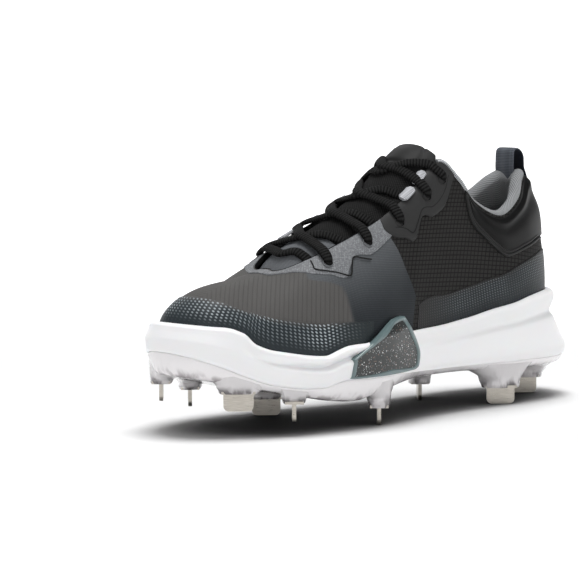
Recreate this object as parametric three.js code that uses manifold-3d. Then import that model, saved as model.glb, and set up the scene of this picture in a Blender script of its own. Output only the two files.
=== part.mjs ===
// A left baseball cleat with metal spikes, in millimetres, +X to the toe, +Y to the outer side, +Z up.
// The tables run round the shoe or along it, and their lengths are shares of the sizes named first.
import * as THREE from "three";
import Module from "manifold-3d";
import { mergeVertices } from "three/addons/utils/BufferGeometryUtils.js";

const wasm = await Module();
wasm.setup();

// Driving sizes
const LENGTH = 300; // heel flare to toe bumper
const BALL_WIDTH = 100; // across the sole at the ball
const COLLAR_HEIGHT = 129; // back of the collar above the ground
const HEEL_BED = 45; // footbed above the ground at the heel
const TOE_SPRING = 21.5; // lift of the sole's underside at the toe tip
const BLADE_HEIGHT = 11;
const HEEL_LIFT = 8; // plate of the heel and arch above the plate of the ball
const BOSS_HEIGHT = 1.8; // plate underside to the top of a blade
const GAP = 0.3; // between pieces that touch

// Walls and thicknesses
const WALL = 2.2; // upper
const COLLAR_PAD = 6.5; // foam added to the wall at the collar
const OVERLAY = 0.9;
const HEEL_PANEL = 1.1;
const PIPING = 1.6; // radius
const RIM = 3.2; // midsole rim outside the upper
const PLATE = 3;
const PLATE_EDGE = 1.6; // at the top of its side band
const INSOLE = 4;
const TONGUE_THICKNESS = 5;

// Small fittings
const BLADE_WIDTH = 16;
const BLADE_THICKNESS = 2;
const BLADE_CORNER = 3;
const BLADE_FOOT = 5; // half length of a blade's foot plate across the blade
const BLADE_FOOT_THICKNESS = 1.5;
const BOSS_LENGTH = 22;
const BOSS_WIDTH = 14;
const EYELET_RADIUS = 2.4;
const LACE_WIDTH = 5.6;
const LACE_THICKNESS = 2.8;
const LOOP_WIDTH = 14;
const LOOP_THICKNESS = 1.8;
const LOOP_RISE = 15; // above the collar
const INSERT_RECESS = 0.8;
const INSERT_THICKNESS = 2.2;

// Derived sizes
const HALF_WIDTH = BALL_WIDTH / 2;
const PLATE_UNDERSIDE = BLADE_HEIGHT + BOSS_HEIGHT;
const SPRING_START = 0.66 * LENGTH;
const SPRING_POWER = 1.15;

// The wall of the upper, a row for each station from the heel back to the toe tip.
// foot: the feather line on the outer and inner side, edge: the topline and throat edge,
// rise, lean: the wall's handle at the foot, reach, drop: its handle at the edge.
const STATIONS = [
  {
    outX: 0.044, outY: 0.00, inX: 0.044, inY: 0.00,
    edgeX: 0.080, edgeY: 0.00, edgeZ: 1.004,
    rise: 0.33, lean: 4, reach: 0.9, drop: 0.31,
  },
  {
    outX: 0.055, outY: 0.25, inX: 0.055, inY: 0.23,
    edgeX: 0.093, edgeY: 0.18, edgeZ: 1.008,
    rise: 0.33, lean: 4, reach: 0.9, drop: 0.31,
  },
  {
    outX: 0.090, outY: 0.42, inX: 0.090, inY: 0.38,
    edgeX: 0.120, edgeY: 0.30, edgeZ: 0.973,
    rise: 0.34, lean: 3.5, reach: 0.9, drop: 0.32,
  },
  {
    outX: 0.150, outY: 0.54, inX: 0.150, inY: 0.48,
    edgeX: 0.158, edgeY: 0.44, edgeZ: 0.895,
    rise: 0.36, lean: 3, reach: 0.9, drop: 0.34,
  },
  {
    outX: 0.230, outY: 0.60, inX: 0.230, inY: 0.51,
    edgeX: 0.227, edgeY: 0.55, edgeZ: 0.832,
    rise: 0.36, lean: 2, reach: 1.0, drop: 0.34,
  },
  {
    outX: 0.307, outY: 0.61, inX: 0.307, inY: 0.51,
    edgeX: 0.293, edgeY: 0.53, edgeZ: 0.894,
    rise: 0.34, lean: 2, reach: 1.0, drop: 0.3,
  },
  {
    outX: 0.383, outY: 0.63, inX: 0.383, inY: 0.54,
    edgeX: 0.337, edgeY: 0.50, edgeZ: 1.008,
    rise: 0.3, lean: 3, reach: 0.8, drop: 0.2,
  },
  {
    outX: 0.460, outY: 0.69, inX: 0.460, inY: 0.61,
    edgeX: 0.377, edgeY: 0.40, edgeZ: 1.089,
    rise: 0.3, lean: 4, reach: 0.55, drop: 0.1,
  },
  {
    outX: 0.533, outY: 0.79, inX: 0.537, inY: 0.70,
    edgeX: 0.443, edgeY: 0.34, edgeZ: 0.991,
    rise: 0.3, lean: 4.5, reach: 0.6, drop: 0.13,
  },
  {
    outX: 0.613, outY: 0.88, inX: 0.623, inY: 0.80,
    edgeX: 0.527, edgeY: 0.34, edgeZ: 0.888,
    rise: 0.3, lean: 4.5, reach: 0.6, drop: 0.15,
  },
  {
    outX: 0.690, outY: 0.89, inX: 0.707, inY: 0.83,
    edgeX: 0.607, edgeY: 0.33, edgeZ: 0.812,
    rise: 0.3, lean: 4.5, reach: 0.6, drop: 0.165,
  },
  {
    outX: 0.770, outY: 0.81, inX: 0.783, inY: 0.82,
    edgeX: 0.677, edgeY: 0.27, edgeZ: 0.743,
    rise: 0.36, lean: 5, reach: 0.6, drop: 0.18,
  },
  {
    outX: 0.843, outY: 0.67, inX: 0.857, inY: 0.74,
    edgeX: 0.713, edgeY: 0.17, edgeZ: 0.702,
    rise: 0.47, lean: 5, reach: 0.58, drop: 0.24,
  },
  {
    outX: 0.903, outY: 0.43, inX: 0.912, inY: 0.55,
    edgeX: 0.733, edgeY: 0.08, edgeZ: 0.678,
    rise: 0.6, lean: 7, reach: 0.55, drop: 0.32,
  },
  {
    outX: 0.947, outY: 0.19, inX: 0.952, inY: 0.36,
    edgeX: 0.739, edgeY: 0.04, edgeZ: 0.671,
    rise: 0.7, lean: 8.5, reach: 0.54, drop: 0.36,
  },
  {
    outX: 0.963, outY: -0.10, inX: 0.963, inY: 0.10,
    edgeX: 0.740, edgeY: 0.00, edgeZ: 0.670,
    rise: 0.74, lean: 9, reach: 0.53, drop: 0.37,
  },
];
const TOE_ROW = STATIONS.length - 1;
const TURN = 2 * TOE_ROW; // stations once round the shoe

// The sole along the shoe: footbed, underside of the arch, and the midsole's visible faces.
// bed: footbed, lift: plate over the ball's plate, low: foot of the white side, outTop and inTop: its rim,
// all above the spring. waist: how far the plate draws in.
const SOLE = [
  { at: 0, bed: 1.0, lift: 0.8, low: 0.55, outTop: 1.41, inTop: 1.41, waist: 0 },
  { at: 0.1, bed: 1.0, lift: 0.8, low: 0.55, outTop: 1.385, inTop: 1.38, waist: 0 },
  { at: 0.15, bed: 0.99, lift: 0.8, low: 0.555, outTop: 1.35, inTop: 1.35, waist: 0.05 },
  { at: 0.2, bed: 0.98, lift: 0.82, low: 0.56, outTop: 1.287, inTop: 1.29, waist: 0.1 },
  { at: 0.26, bed: 0.95, lift: 0.9, low: 0.565, outTop: 1.24, inTop: 1.25, waist: 0.5 },
  { at: 0.343, bed: 0.9, lift: 1.0, low: 0.57, outTop: 1.155, inTop: 1.2, waist: 0.9 },
  { at: 0.44, bed: 0.82, lift: 1.0, low: 0.58, outTop: 1.1, inTop: 1.16, waist: 1.0 },
  { at: 0.52, bed: 0.755, lift: 0.95, low: 0.6, outTop: 1.09, inTop: 1.14, waist: 0.5 },
  { at: 0.59, bed: 0.71, lift: 0.75, low: 0.61, outTop: 1.06, inTop: 1.08, waist: 0.1 },
  { at: 0.66, bed: 0.667, lift: 0.3, low: 0.61, outTop: 1.02, inTop: 1.0, waist: 0 },
  { at: 0.7, bed: 0.655, lift: 0.1, low: 0.58, outTop: 0.97, inTop: 0.95, waist: 0 },
  { at: 0.72, bed: 0.65, lift: 0.05, low: 0.54, outTop: 0.91, inTop: 0.9, waist: 0 },
  { at: 0.75, bed: 0.637, lift: 0, low: 0.45, outTop: 0.81, inTop: 0.83, waist: 0 },
  { at: 0.8, bed: 0.62, lift: 0, low: 0.39, outTop: 0.78, inTop: 0.8, waist: 0 },
  { at: 0.845, bed: 0.611, lift: 0, low: 0.375, outTop: 0.775, inTop: 0.79, waist: 0 },
  { at: 0.87, bed: 0.614, lift: 0, low: 0.4, outTop: 0.81, inTop: 0.83, waist: 0 },
  { at: 0.89, bed: 0.616, lift: 0, low: 0.43, outTop: 0.925, inTop: 0.9, waist: 0 },
  { at: 0.913, bed: 0.62, lift: 0, low: 0.47, outTop: 1.0, inTop: 0.98, waist: 0 },
  { at: 0.935, bed: 0.622, lift: 0, low: 0.515, outTop: 1.044, inTop: 1.03, waist: 0 },
  { at: 0.963, bed: 0.624, lift: 0, low: 0.59, outTop: 1.053, inTop: 1.05, waist: 0 },
];
const ARCH_INSET = 8; // how far the plate draws in under the arch

// How far the midsole's side stands out beyond its rim, a row along the shoe.
const SIDE = [
  { at: 0.0, lip: 2.6, groove: 0.6, ridge: 4.0, base: 10.4 },
  { at: 0.06, lip: 2.2, groove: 0.4, ridge: 3.2, base: 8.8 },
  { at: 0.12, lip: 1.2, groove: -0.4, ridge: 2.0, base: 5.8 },
  { at: 0.22, lip: 0.8, groove: -0.4, ridge: 1.0, base: 3.6 },
  { at: 0.4, lip: 0.8, groove: 0.0, ridge: 0.8, base: 1.8 },
  { at: 0.55, lip: 1.0, groove: 0.6, ridge: 1.2, base: 1.4 },
  { at: 0.68, lip: 1.2, groove: -0.6, ridge: 1.4, base: 1.0 },
  { at: 0.78, lip: 1.4, groove: -1.4, ridge: 1.6, base: 0.8 },
  { at: 0.85, lip: 1.6, groove: 0.4, ridge: 2.0, base: 1.2 },
  { at: 0.9, lip: 3.4, groove: 4.2, ridge: 4.4, base: 3.4 },
  { at: 0.96, lip: 6.0, groove: 7.6, ridge: 7.6, base: 5.6 },
];

// Spikes: place along the shoe, to the outer side, and the turn of the blade about the vertical.
const SPIKES = [
  { name: "toe_inner", at: 0.928, side: -0.54, turn: 48 },
  { name: "toe_outer", at: 0.890, side: 0.44, turn: -42 },
  { name: "front_inner", at: 0.837, side: -0.70, turn: 50 },
  { name: "front_outer", at: 0.800, side: 0.72, turn: 48 },
  { name: "ball_inner", at: 0.663, side: -0.60, turn: -42 },
  { name: "ball_outer", at: 0.590, side: 0.74, turn: 46 },
  { name: "heel_inner", at: 0.287, side: -0.40, turn: 48 },
  { name: "heel_outer", at: 0.228, side: 0.56, turn: -42 },
  { name: "heel_back", at: 0.070, side: 0.06, turn: -42 },
];

// Eyelets: station counted from the heel and height up the wall, from the top down.
const EYELETS = [
  { at: 6.75, up: 0.84 },
  { at: 7.35, up: 0.75 },
  { at: 8.35, up: 0.76 },
  { at: 9.4, up: 0.79 },
  { at: 10.05, up: 0.86 },
  { at: 10.6, up: 0.78 },
];

// The lace's runs, from a place on the outer side to an eyelet on the inner side, counted from the top.
const RUNS = [
  { at: 7.35, up: 0.75, eyelet: 0, over: 1 },
  { at: 8.35, up: 0.76, eyelet: 1, over: 1 },
  { at: 9.4, up: 0.79, eyelet: 2, over: 1 },
  { at: 10.6, up: 0.78, eyelet: 3, over: 1 },
  { at: 6.75, up: 0.84, eyelet: 1, over: 0 },
  { at: 7.95, up: 0.92, eyelet: 2, over: 0 },
  { at: 9.0, up: 0.95, eyelet: 3, over: 0 },
  { at: 10.05, up: 0.86, eyelet: 5, over: 0 },
];

// Borders of the overlays, as heights up the wall at stations from the heel.
const GUARD_TOP = [[8.9, 0.29], [10, 0.34], [11, 0.35], [12, 0.37], [12.9, 0.41], [14.1, 0.46], [15, 0.47]];
const COUNTER_TOP = [
  [0, 0.46], [0.65, 0.47], [2, 0.5], [3.3, 0.52], [4.35, 0.46], [5.3, 0.36], [6.4, 0.28], [7.4, 0.26],
];
const PANEL_FOOT = [
  [0, 0.53], [0.6, 0.54], [2.7, 0.62], [3.25, 0.64], [3.85, 0.66], [4.3, 0.73], [4.75, 0.79], [5.05, 0.81],
  [5.3, 0.84], [5.45, 0.9], [5.6, 0.96],
];
const EYESTAY_FOOT = [
  [6.3, 0.9], [6.45, 0.75], [6.7, 0.66], [7.05, 0.62], [7.5, 0.66], [7.62, 0.62], [7.75, 0.58], [8.15, 0.64],
  [8.6, 0.71], [8.9, 0.76], [9.25, 0.69], [9.8, 0.73], [9.95, 0.68], [10.1, 0.6], [11.1, 0.74], [12, 0.86],
  [12.9, 0.91], [15, 0.93],
];

// The outer side's insert, its outline along the shoe and up.
const INSERT = [
  [0.703, 0.655], [0.697, 0.845], [0.653, 1.02], [0.577, 1.262], [0.556, 1.3], [0.536, 1.24], [0.525, 1.07],
  [0.513, 0.93], [0.511, 0.82], [0.517, 0.69], [0.535, 0.63], [0.62, 0.62],
];

// Curves through table rows
const smooth = (a, b, x) => {
  const t = Math.min(1, Math.max(0, (x - a) / (b - a)));
  return t * t * (3 - 2 * t);
};

function through(p0, p1, p2, p3, t) {
  return (
    0.5 *
    (2 * p1 + (p2 - p0) * t + (2 * p0 - 5 * p1 + 4 * p2 - p3) * t ** 2 + (3 * p1 - p0 - 3 * p2 + p3) * t ** 3)
  );
}

// A column of a table whose rows have a place "at", read at x without overshoot.
function column(rows, key, x) {
  const last = rows.length - 1;
  if (x <= rows[0].at) return rows[0][key];
  if (x >= rows[last].at) return rows[last][key];
  const k = rows.findIndex((row) => row.at > x) - 1;
  const t = (x - rows[k].at) / (rows[k + 1].at - rows[k].at);
  const eased = 0.5 * (t + smooth(0, 1, t));
  return rows[k][key] + (rows[k + 1][key] - rows[k][key]) * eased;
}

const spring = (x) => {
  const share = Math.max(0, (x - SPRING_START) / (LENGTH - SPRING_START));
  return TOE_SPRING * share ** SPRING_POWER;
};
const bed = (x) => HEEL_BED * column(SOLE, "bed", x / LENGTH) + spring(x);
const sideFoot = (x) => HEEL_BED * column(SOLE, "low", x / LENGTH) + spring(x);
const underside = (x) => PLATE_UNDERSIDE + HEEL_LIFT * column(SOLE, "lift", x / LENGTH) + spring(x);
const rimTop = (x, outer) => HEEL_BED * column(SOLE, outer ? "outTop" : "inTop", x / LENGTH) + spring(x);

// One station's numbers: 0 to TOE_ROW run along the outer side, the rest back along the inner side.
function station(k) {
  const turn = ((k % TURN) + TURN) % TURN;
  const outer = turn <= TOE_ROW;
  const row = STATIONS[outer ? turn : TURN - turn];
  const side = outer ? 1 : -1;
  return {
    footX: (outer ? row.outX : row.inX) * LENGTH,
    footY: side * (outer ? row.outY : row.inY) * HALF_WIDTH,
    edgeX: row.edgeX * LENGTH,
    edgeY: side * row.edgeY * HALF_WIDTH,
    edgeZ: row.edgeZ * COLLAR_HEIGHT,
    rise: row.rise,
    lean: row.lean,
    reach: row.reach,
    drop: row.drop,
  };
}

function between(s) {
  const k = Math.floor(s);
  const rows = [station(k - 1), station(k), station(k + 1), station(k + 2)];
  const made = {};
  for (const key of Object.keys(rows[0])) {
    made[key] = through(rows[0][key], rows[1][key], rows[2][key], rows[3][key], s - k);
  }
  return made;
}

// Outward direction, level, of the feather line at s.
function outward(s) {
  const a = between(s - 0.05);
  const b = between(s + 0.05);
  return new THREE.Vector3(-(b.footY - a.footY), b.footX - a.footX, 0).normalize();
}

// A point of the upper's outer face: s counts stations round the shoe, h goes from foot to edge.
function wall(s, h) {
  const row = between(s);
  const out = outward(s);
  const foot = new THREE.Vector3(row.footX, row.footY, bed(row.footX) + GAP);
  const edge = new THREE.Vector3(row.edgeX, row.edgeY, row.edgeZ);
  const height = edge.z - foot.z;
  const low = foot.clone().addScaledVector(out, row.lean).add(new THREE.Vector3(0, 0, row.rise * height));
  const high = edge.clone().lerp(foot, row.reach).addScaledVector(out, 1);
  high.z = edge.z - row.drop * height;
  return new THREE.CubicBezierCurve3(foot, low, high, edge).getPoint(h);
}

function wallNormal(s, h) {
  const e = 0.02;
  const h0 = Math.max(0, h - e);
  const h1 = Math.min(1, h + e);
  const along = wall(s + e, h).sub(wall(s - e, h));
  const up = wall(s, h1).sub(wall(s, h0));
  return along.cross(up).normalize().negate();
}

const offWall = (s, h, out) => wall(s, h).addScaledVector(wallNormal(s, h), out);

// Where the wall passes height z at station s.
function wallAt(s, z) {
  let low = 0;
  let high = 0.6;
  for (let i = 0; i < 24; i += 1) {
    const mid = (low + high) / 2;
    if (wall(s, mid).z < z) low = mid;
    else high = mid;
  }
  return low;
}

const isOuter = (s) => ((s % TURN) + TURN) % TURN <= TOE_ROW;
const rimLevel = (s) => {
  const x = between(s).footX;
  return wallAt(s, rimTop(x, isOuter(s)));
};

// Heights shared by the upper, the midsole's cup and the overlays: shares of the rim, then of the rest.
const CUP = [0, 0.34, 0.67, 1];
const ABOVE = [0.13, 0.27, 0.41, 0.56, 0.72, 0.87, 1];
function level(s, k) {
  const rim = rimLevel(s);
  return k < CUP.length ? rim * CUP[k] : rim + (1 - rim) * ABOVE[k - CUP.length];
}
const TOP_LEVEL = CUP.length + ABOVE.length - 1;

// Closed solids from grids and loops
function geometryFrom(points, triangles) {
  const geometry = new THREE.BufferGeometry();
  const places = points.flatMap((p) => [p.x, p.y, p.z]);
  geometry.setAttribute("position", new THREE.Float32BufferAttribute(places, 3));
  geometry.setIndex(triangles);
  return geometry;
}

// Rings of equal count joined one to the next; the first and last are closed by rungs from side to side,
// or joined to each other when the section itself is closed.
function ringSolid(rings, closedSection = false) {
  const n = rings[0].length;
  const triangles = [];
  const quad = (a, b, c, d) => triangles.push(a, b, c, a, c, d);
  const last = closedSection ? rings.length : rings.length - 1;
  for (let r = 0; r < last; r += 1) {
    const next = (r + 1) % rings.length;
    for (let i = 0; i < n; i += 1) {
      const j = (i + 1) % n;
      quad(r * n + i, r * n + j, next * n + j, next * n + i);
    }
  }
  const cap = (base, flip) => {
    const face = (a, b, c) => (flip ? triangles.push(a, c, b) : triangles.push(a, b, c));
    for (let i = 0; i < n / 2; i += 1) {
      const a = base + i;
      const b = base + i + 1;
      const c = base + ((n - i - 1) % n);
      const d = base + ((n - i) % n);
      if (i === 0) face(a, b, c);
      else if (i === n / 2 - 1) face(a, b, d);
      else {
        face(a, b, c);
        face(a, c, d);
      }
    }
  };
  if (!closedSection) {
    cap(0, true);
    cap((rings.length - 1) * n, false);
  }
  return geometryFrom(rings.flat(), triangles);
}

// A curved sheet between an outer and an inner grid of points, open on all four edges.
function sheetSolid(outer, inner) {
  const rows = outer.length;
  const cols = outer[0].length;
  const ring = [];
  for (let j = 0; j < rows; j += 1) ring.push([...outer[j], ...[...inner[j]].reverse()]);
  const n = 2 * cols;
  const triangles = [];
  for (let j = 0; j + 1 < rows; j += 1) {
    for (let i = 0; i < n; i += 1) {
      const a = j * n + i;
      const b = j * n + ((i + 1) % n);
      triangles.push(a, b, b + n, a, b + n, a + n);
    }
  }
  for (const [base, flip] of [[0, true], [(rows - 1) * n, false]]) {
    for (let i = 0; i + 1 < cols; i += 1) {
      const a = base + i;
      const b = base + i + 1;
      const c = base + n - 2 - i;
      const d = base + n - 1 - i;
      if (flip) triangles.push(a, c, b, a, d, c);
      else triangles.push(a, b, c, a, c, d);
    }
  }
  return geometryFrom(ring.flat(), triangles);
}

function toSolid(geometry) {
  const bare = geometry.index ? geometry.toNonIndexed() : geometry.clone();
  const only = new THREE.BufferGeometry().setAttribute("position", bare.getAttribute("position"));
  const merged = mergeVertices(only, 1e-3);
  const mesh = new wasm.Mesh({
    numProp: 3,
    vertProperties: merged.attributes.position.array,
    triVerts: new Uint32Array(merged.index.array),
  });
  const solid = new wasm.Manifold(mesh);
  if (solid.volume() > 0) return solid;
  const turned = new Uint32Array(merged.index.array);
  for (let i = 0; i < turned.length; i += 3) [turned[i + 1], turned[i + 2]] = [turned[i + 2], turned[i + 1]];
  return new wasm.Manifold(
    new wasm.Mesh({ numProp: 3, vertProperties: merged.attributes.position.array, triVerts: turned }),
  );
}

function toGeometry(solid) {
  const mesh = solid.getMesh();
  const geometry = new THREE.BufferGeometry();
  geometry.setAttribute("position", new THREE.BufferAttribute(new Float32Array(mesh.vertProperties), 3));
  geometry.setIndex(new THREE.BufferAttribute(new Uint32Array(mesh.triVerts), 1));
  return geometry;
}

// Upper
const AROUND = 52; // points round the shoe, even
const ringOf = (place) => Array.from({ length: AROUND }, (_, i) => place((i * TURN) / AROUND));

// 1 at the collar, falling to 0 where the throat begins.
function atCollar(s) {
  const turn = ((s % TURN) + TURN) % TURN;
  const fromHeel = Math.min(turn, TURN - turn);
  return 1 - smooth(5.6, 7.2, fromHeel);
}

function wallThickness(s, h) {
  return WALL + COLLAR_PAD * atCollar(s) * smooth(0.62, 0.86, h);
}

const INNER_LEVELS = [10, 9, 8, 7, 5, 3, 1, 0];

function upperSolid() {
  const rings = [];
  for (let k = 0; k <= TOP_LEVEL; k += 1) rings.push(ringOf((s) => wall(s, level(s, k))));
  rings.push(
    ringOf((s) => {
      const middle = offWall(s, 1, -wallThickness(s, 1) / 2);
      middle.z += 0.5 * wallThickness(s, 1);
      return middle;
    }),
  );
  for (const k of INNER_LEVELS) {
    rings.push(ringOf((s) => offWall(s, level(s, k), -wallThickness(s, level(s, k)))));
  }
  return toSolid(ringSolid(rings, true));
}

// The upper's outer form, filled and grown outward.
function form(grown) {
  const rings = [];
  for (let k = 0; k <= TOP_LEVEL; k += 1) rings.push(ringOf((s) => offWall(s, level(s, k), grown)));
  return toSolid(ringSolid(rings));
}

// A short round tool through the wall at an eyelet.
function eyeletTool(s, h) {
  const tool = new THREE.CylinderGeometry(EYELET_RADIUS, EYELET_RADIUS, 16, 6);
  const turn = new THREE.Quaternion().setFromUnitVectors(new THREE.Vector3(0, 1, 0), wallNormal(s, h));
  tool.applyQuaternion(turn);
  const at = wall(s, h);
  tool.translate(at.x, at.y, at.z);
  return toSolid(tool);
}

function withEyelets(solid, sides = [1, -1]) {
  let made = solid;
  for (const side of sides) {
    for (const { at, up } of EYELETS) made = made.subtract(eyeletTool(side > 0 ? at : TURN - at, up));
  }
  return made;
}

// Overlays
// A border's height at station s, the same on both sides of the shoe.
function border(rows, s) {
  const turn = ((s % TURN) + TURN) % TURN;
  const x = Math.min(turn, TURN - turn);
  if (x <= rows[0][0]) return rows[0][1];
  const k = rows.findIndex((row) => row[0] > x);
  if (k < 0) return rows[rows.length - 1][1];
  const t = (x - rows[k - 1][0]) / (rows[k][0] - rows[k - 1][0]);
  return rows[k - 1][1] + (rows[k][1] - rows[k - 1][1]) * t;
}

// The region of the wall between two borders, as a thick tool.
function regionTool(stations, lowAt, highAt, rows) {
  const outer = [];
  const inner = [];
  for (let j = 0; j <= rows; j += 1) {
    const heightAt = (s) => lowAt(s) + ((highAt(s) - lowAt(s)) * j) / rows;
    outer.push(stations.map((s) => offWall(s, heightAt(s), 5)));
    inner.push(stations.map((s) => offWall(s, heightAt(s), -1.5)));
  }
  return toSolid(sheetSolid(outer, inner));
}

function overlaySolid(stations, lowAt, highAt, rows, thickness) {
  return form(GAP + thickness).subtract(form(GAP)).intersect(regionTool(stations, lowAt, highAt, rows));
}

const evenly = (from, to, steps) =>
  Array.from({ length: steps + 1 }, (_, i) => from + ((to - from) * i) / steps);

// A sweep of an oval section along points, each with its own up direction.
function sweepSolid(points, ups, halfWidth, halfThick, corners) {
  const rings = points.map((p, i) => {
    const ahead = points[Math.min(i + 1, points.length - 1)];
    const behind = points[Math.max(i - 1, 0)];
    const along = ahead.clone().sub(behind).normalize();
    const across = along.clone().cross(ups[i]).normalize();
    const up = across.clone().cross(along).normalize();
    return Array.from({ length: corners }, (_, k) => {
      const a = (2 * Math.PI * (k + 0.5)) / corners;
      const level = p.clone().addScaledVector(across, halfWidth * Math.cos(a));
      return level.addScaledVector(up, halfThick * Math.sin(a));
    });
  });
  return toSolid(ringSolid(rings));
}

function pipingTool(radius) {
  const last = PANEL_FOOT[PANEL_FOOT.length - 1][0];
  const stations = evenly(-last, last, 28);
  const points = stations.map((s) => offWall(s, border(PANEL_FOOT, s), GAP + 0.4));
  const ups = stations.map((s) => wallNormal(s, border(PANEL_FOOT, s)));
  return sweepSolid(points, ups, radius, radius, 6);
}

// Sole
// The midsole's side from its lip to its foot: share of the way down, and the column that sets its stand.
const PROFILE = [
  { down: 0.12, key: "lip", ease: 0 },
  { down: 0.34, key: "groove", ease: 0 },
  { down: 0.5, key: "ridge", ease: 0 },
  { down: 0.84, key: "base", ease: 0 },
  { down: 1, key: "base", ease: 0.9 },
];

function soleFrame(s) {
  const x = between(s).footX;
  const outer = isOuter(s);
  const rim = offWall(s, rimLevel(s), GAP);
  return {
    x,
    at: x / LENGTH,
    top: rimTop(x, outer),
    out: outward(s),
    rim,
    low: sideFoot(x),
    under: underside(x),
  };
}

function sidePoint(frame, stand, z) {
  return new THREE.Vector3(frame.rim.x, frame.rim.y, z).addScaledVector(frame.out, stand);
}

const plateInset = (at) => ARCH_INSET * column(SOLE, "waist", at);
const sideStand = (frame, row) => RIM + column(SIDE, row.key, frame.at) - row.ease;

// The side's stand at a share of the way down.
function standAt(frame, down) {
  const k = PROFILE.findIndex((row) => row.down > down);
  if (k === 0) return sideStand(frame, PROFILE[0]);
  if (k < 0) return sideStand(frame, PROFILE[PROFILE.length - 1]);
  const a = PROFILE[k - 1];
  const b = PROFILE[k];
  const t = (down - a.down) / (b.down - a.down);
  return sideStand(frame, a) + (sideStand(frame, b) - sideStand(frame, a)) * t;
}

function midsoleSolid() {
  const framed = (place) => ringOf((s) => place(soleFrame(s), s));
  const rings = [framed((f, s) => offWall(s, 0, GAP).setZ(bed(f.x)))];
  for (let k = 1; k < CUP.length; k += 1) rings.push(framed((f, s) => offWall(s, level(s, k), GAP)));
  rings.push(framed((f) => sidePoint(f, RIM * 0.6, f.top + 0.4)));
  for (const row of PROFILE) {
    rings.push(framed((f) => sidePoint(f, sideStand(f, row), f.top - row.down * (f.top - f.low))));
  }
  rings.push(framed((f) => sidePoint(f, standAt(f, 1) - PLATE_EDGE - plateInset(f.at), f.low)));
  const seat = (f) => standAt(f, 1) - 2 * PLATE - plateInset(f.at);
  rings.push(framed((f) => sidePoint(f, seat(f), f.under + PLATE + GAP)));
  return toSolid(ringSolid(rings));
}

// The outer side's insert stands in a pocket of the midsole and against the upper above its rim.
function insertSheet(outGrown, inGrown) {
  const stations = evenly(7, 10.9, 13);
  const heights = evenly(0.54 * HEEL_BED, 1.4 * HEEL_BED, 8);
  const place = (s, z, grown) => {
    const f = soleFrame(s);
    if (z > f.top - 2) {
      const up = wallAt(s, Math.max(z, f.top));
      const p = offWall(s, up, GAP);
      return p.setZ(z).addScaledVector(f.out, Math.max(0, RIM - INSERT_RECESS + grown));
    }
    const down = (f.top - z) / (f.top - f.low);
    return sidePoint(f, standAt(f, down) - INSERT_RECESS + grown, z);
  };
  const outer = heights.map((z) => stations.map((s) => place(s, z, outGrown)));
  const inner = heights.map((z) => stations.map((s) => place(s, z, inGrown)));
  return toSolid(sheetSolid(outer, inner));
}

function insertPrism(grown) {
  const middle = new THREE.Vector2();
  const outline = INSERT.map(([at, z]) => new THREE.Vector2(at * LENGTH, z * HEEL_BED));
  for (const p of outline) middle.addScaledVector(p, 1 / outline.length);
  const shape = new THREE.Shape(
    outline.map((p) => p.clone().add(p.clone().sub(middle).normalize().multiplyScalar(grown))),
  );
  const prism = new THREE.ExtrudeGeometry(shape, { depth: HALF_WIDTH, bevelEnabled: false });
  prism.rotateX(Math.PI / 2);
  prism.translate(0, 1.4 * HALF_WIDTH, 0);
  return toSolid(prism);
}

function insertSolid() {
  return insertSheet(0, -INSERT_THICKNESS).intersect(insertPrism(0)).subtract(form(GAP));
}

function insertPocket() {
  return insertSheet(12, -INSERT_THICKNESS - GAP).intersect(insertPrism(1.6 * GAP));
}

function bossTool(spike) {
  const foot = bladeTop(spike) + GAP;
  const boss = new THREE.CylinderGeometry(0.5, 0.5, 1, 8);
  const spread = 1.15 + 0.05 * (underside(spike.at * LENGTH) - foot);
  boss.rotateX(Math.PI / 2);
  const place = boss.getAttribute("position");
  const flags = Array.from({ length: place.count }, (_, i) => place.getZ(i) > 0);
  flags.forEach((up, i) => {
    const wide = up ? spread : 1;
    place.setXYZ(i, place.getX(i) * BOSS_LENGTH * wide, place.getY(i) * BOSS_WIDTH * wide, foot);
  });
  boss.rotateZ((spike.turn * Math.PI) / 180);
  boss.translate(spike.at * LENGTH, spike.side * HALF_WIDTH, 0);
  flags.forEach((up, i) => {
    if (up) place.setZ(i, underside(place.getX(i)) + PLATE / 2);
  });
  return toSolid(boss);
}

function plateSolid() {
  const base = (f) => standAt(f, 1) - plateInset(f.at);
  const framed = (place) => ringOf((s) => place(soleFrame(s)));
  const rings = [
    framed((f) => sidePoint(f, base(f) - 8, f.under)),
    framed((f) => sidePoint(f, base(f) - 4, f.low - 0.86 * (f.low - f.under))),
    framed((f) => sidePoint(f, base(f) - 1.4, f.low - 0.45 * (f.low - f.under))),
    framed((f) => sidePoint(f, base(f) - 0.3, f.low - GAP)),
    framed((f) => sidePoint(f, base(f) - PLATE_EDGE + GAP, f.low - GAP)),
    framed((f) => sidePoint(f, base(f) - 2 * PLATE + GAP, f.under + PLATE)),
  ];
  let plate = toSolid(ringSolid(rings));
  for (const spike of SPIKES) plate = plate.add(bossTool(spike));
  return plate;
}

const bladeTip = (spike) => spring(spike.at * LENGTH);
const bladeTop = (spike) => bladeTip(spike) + BLADE_HEIGHT;

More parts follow.
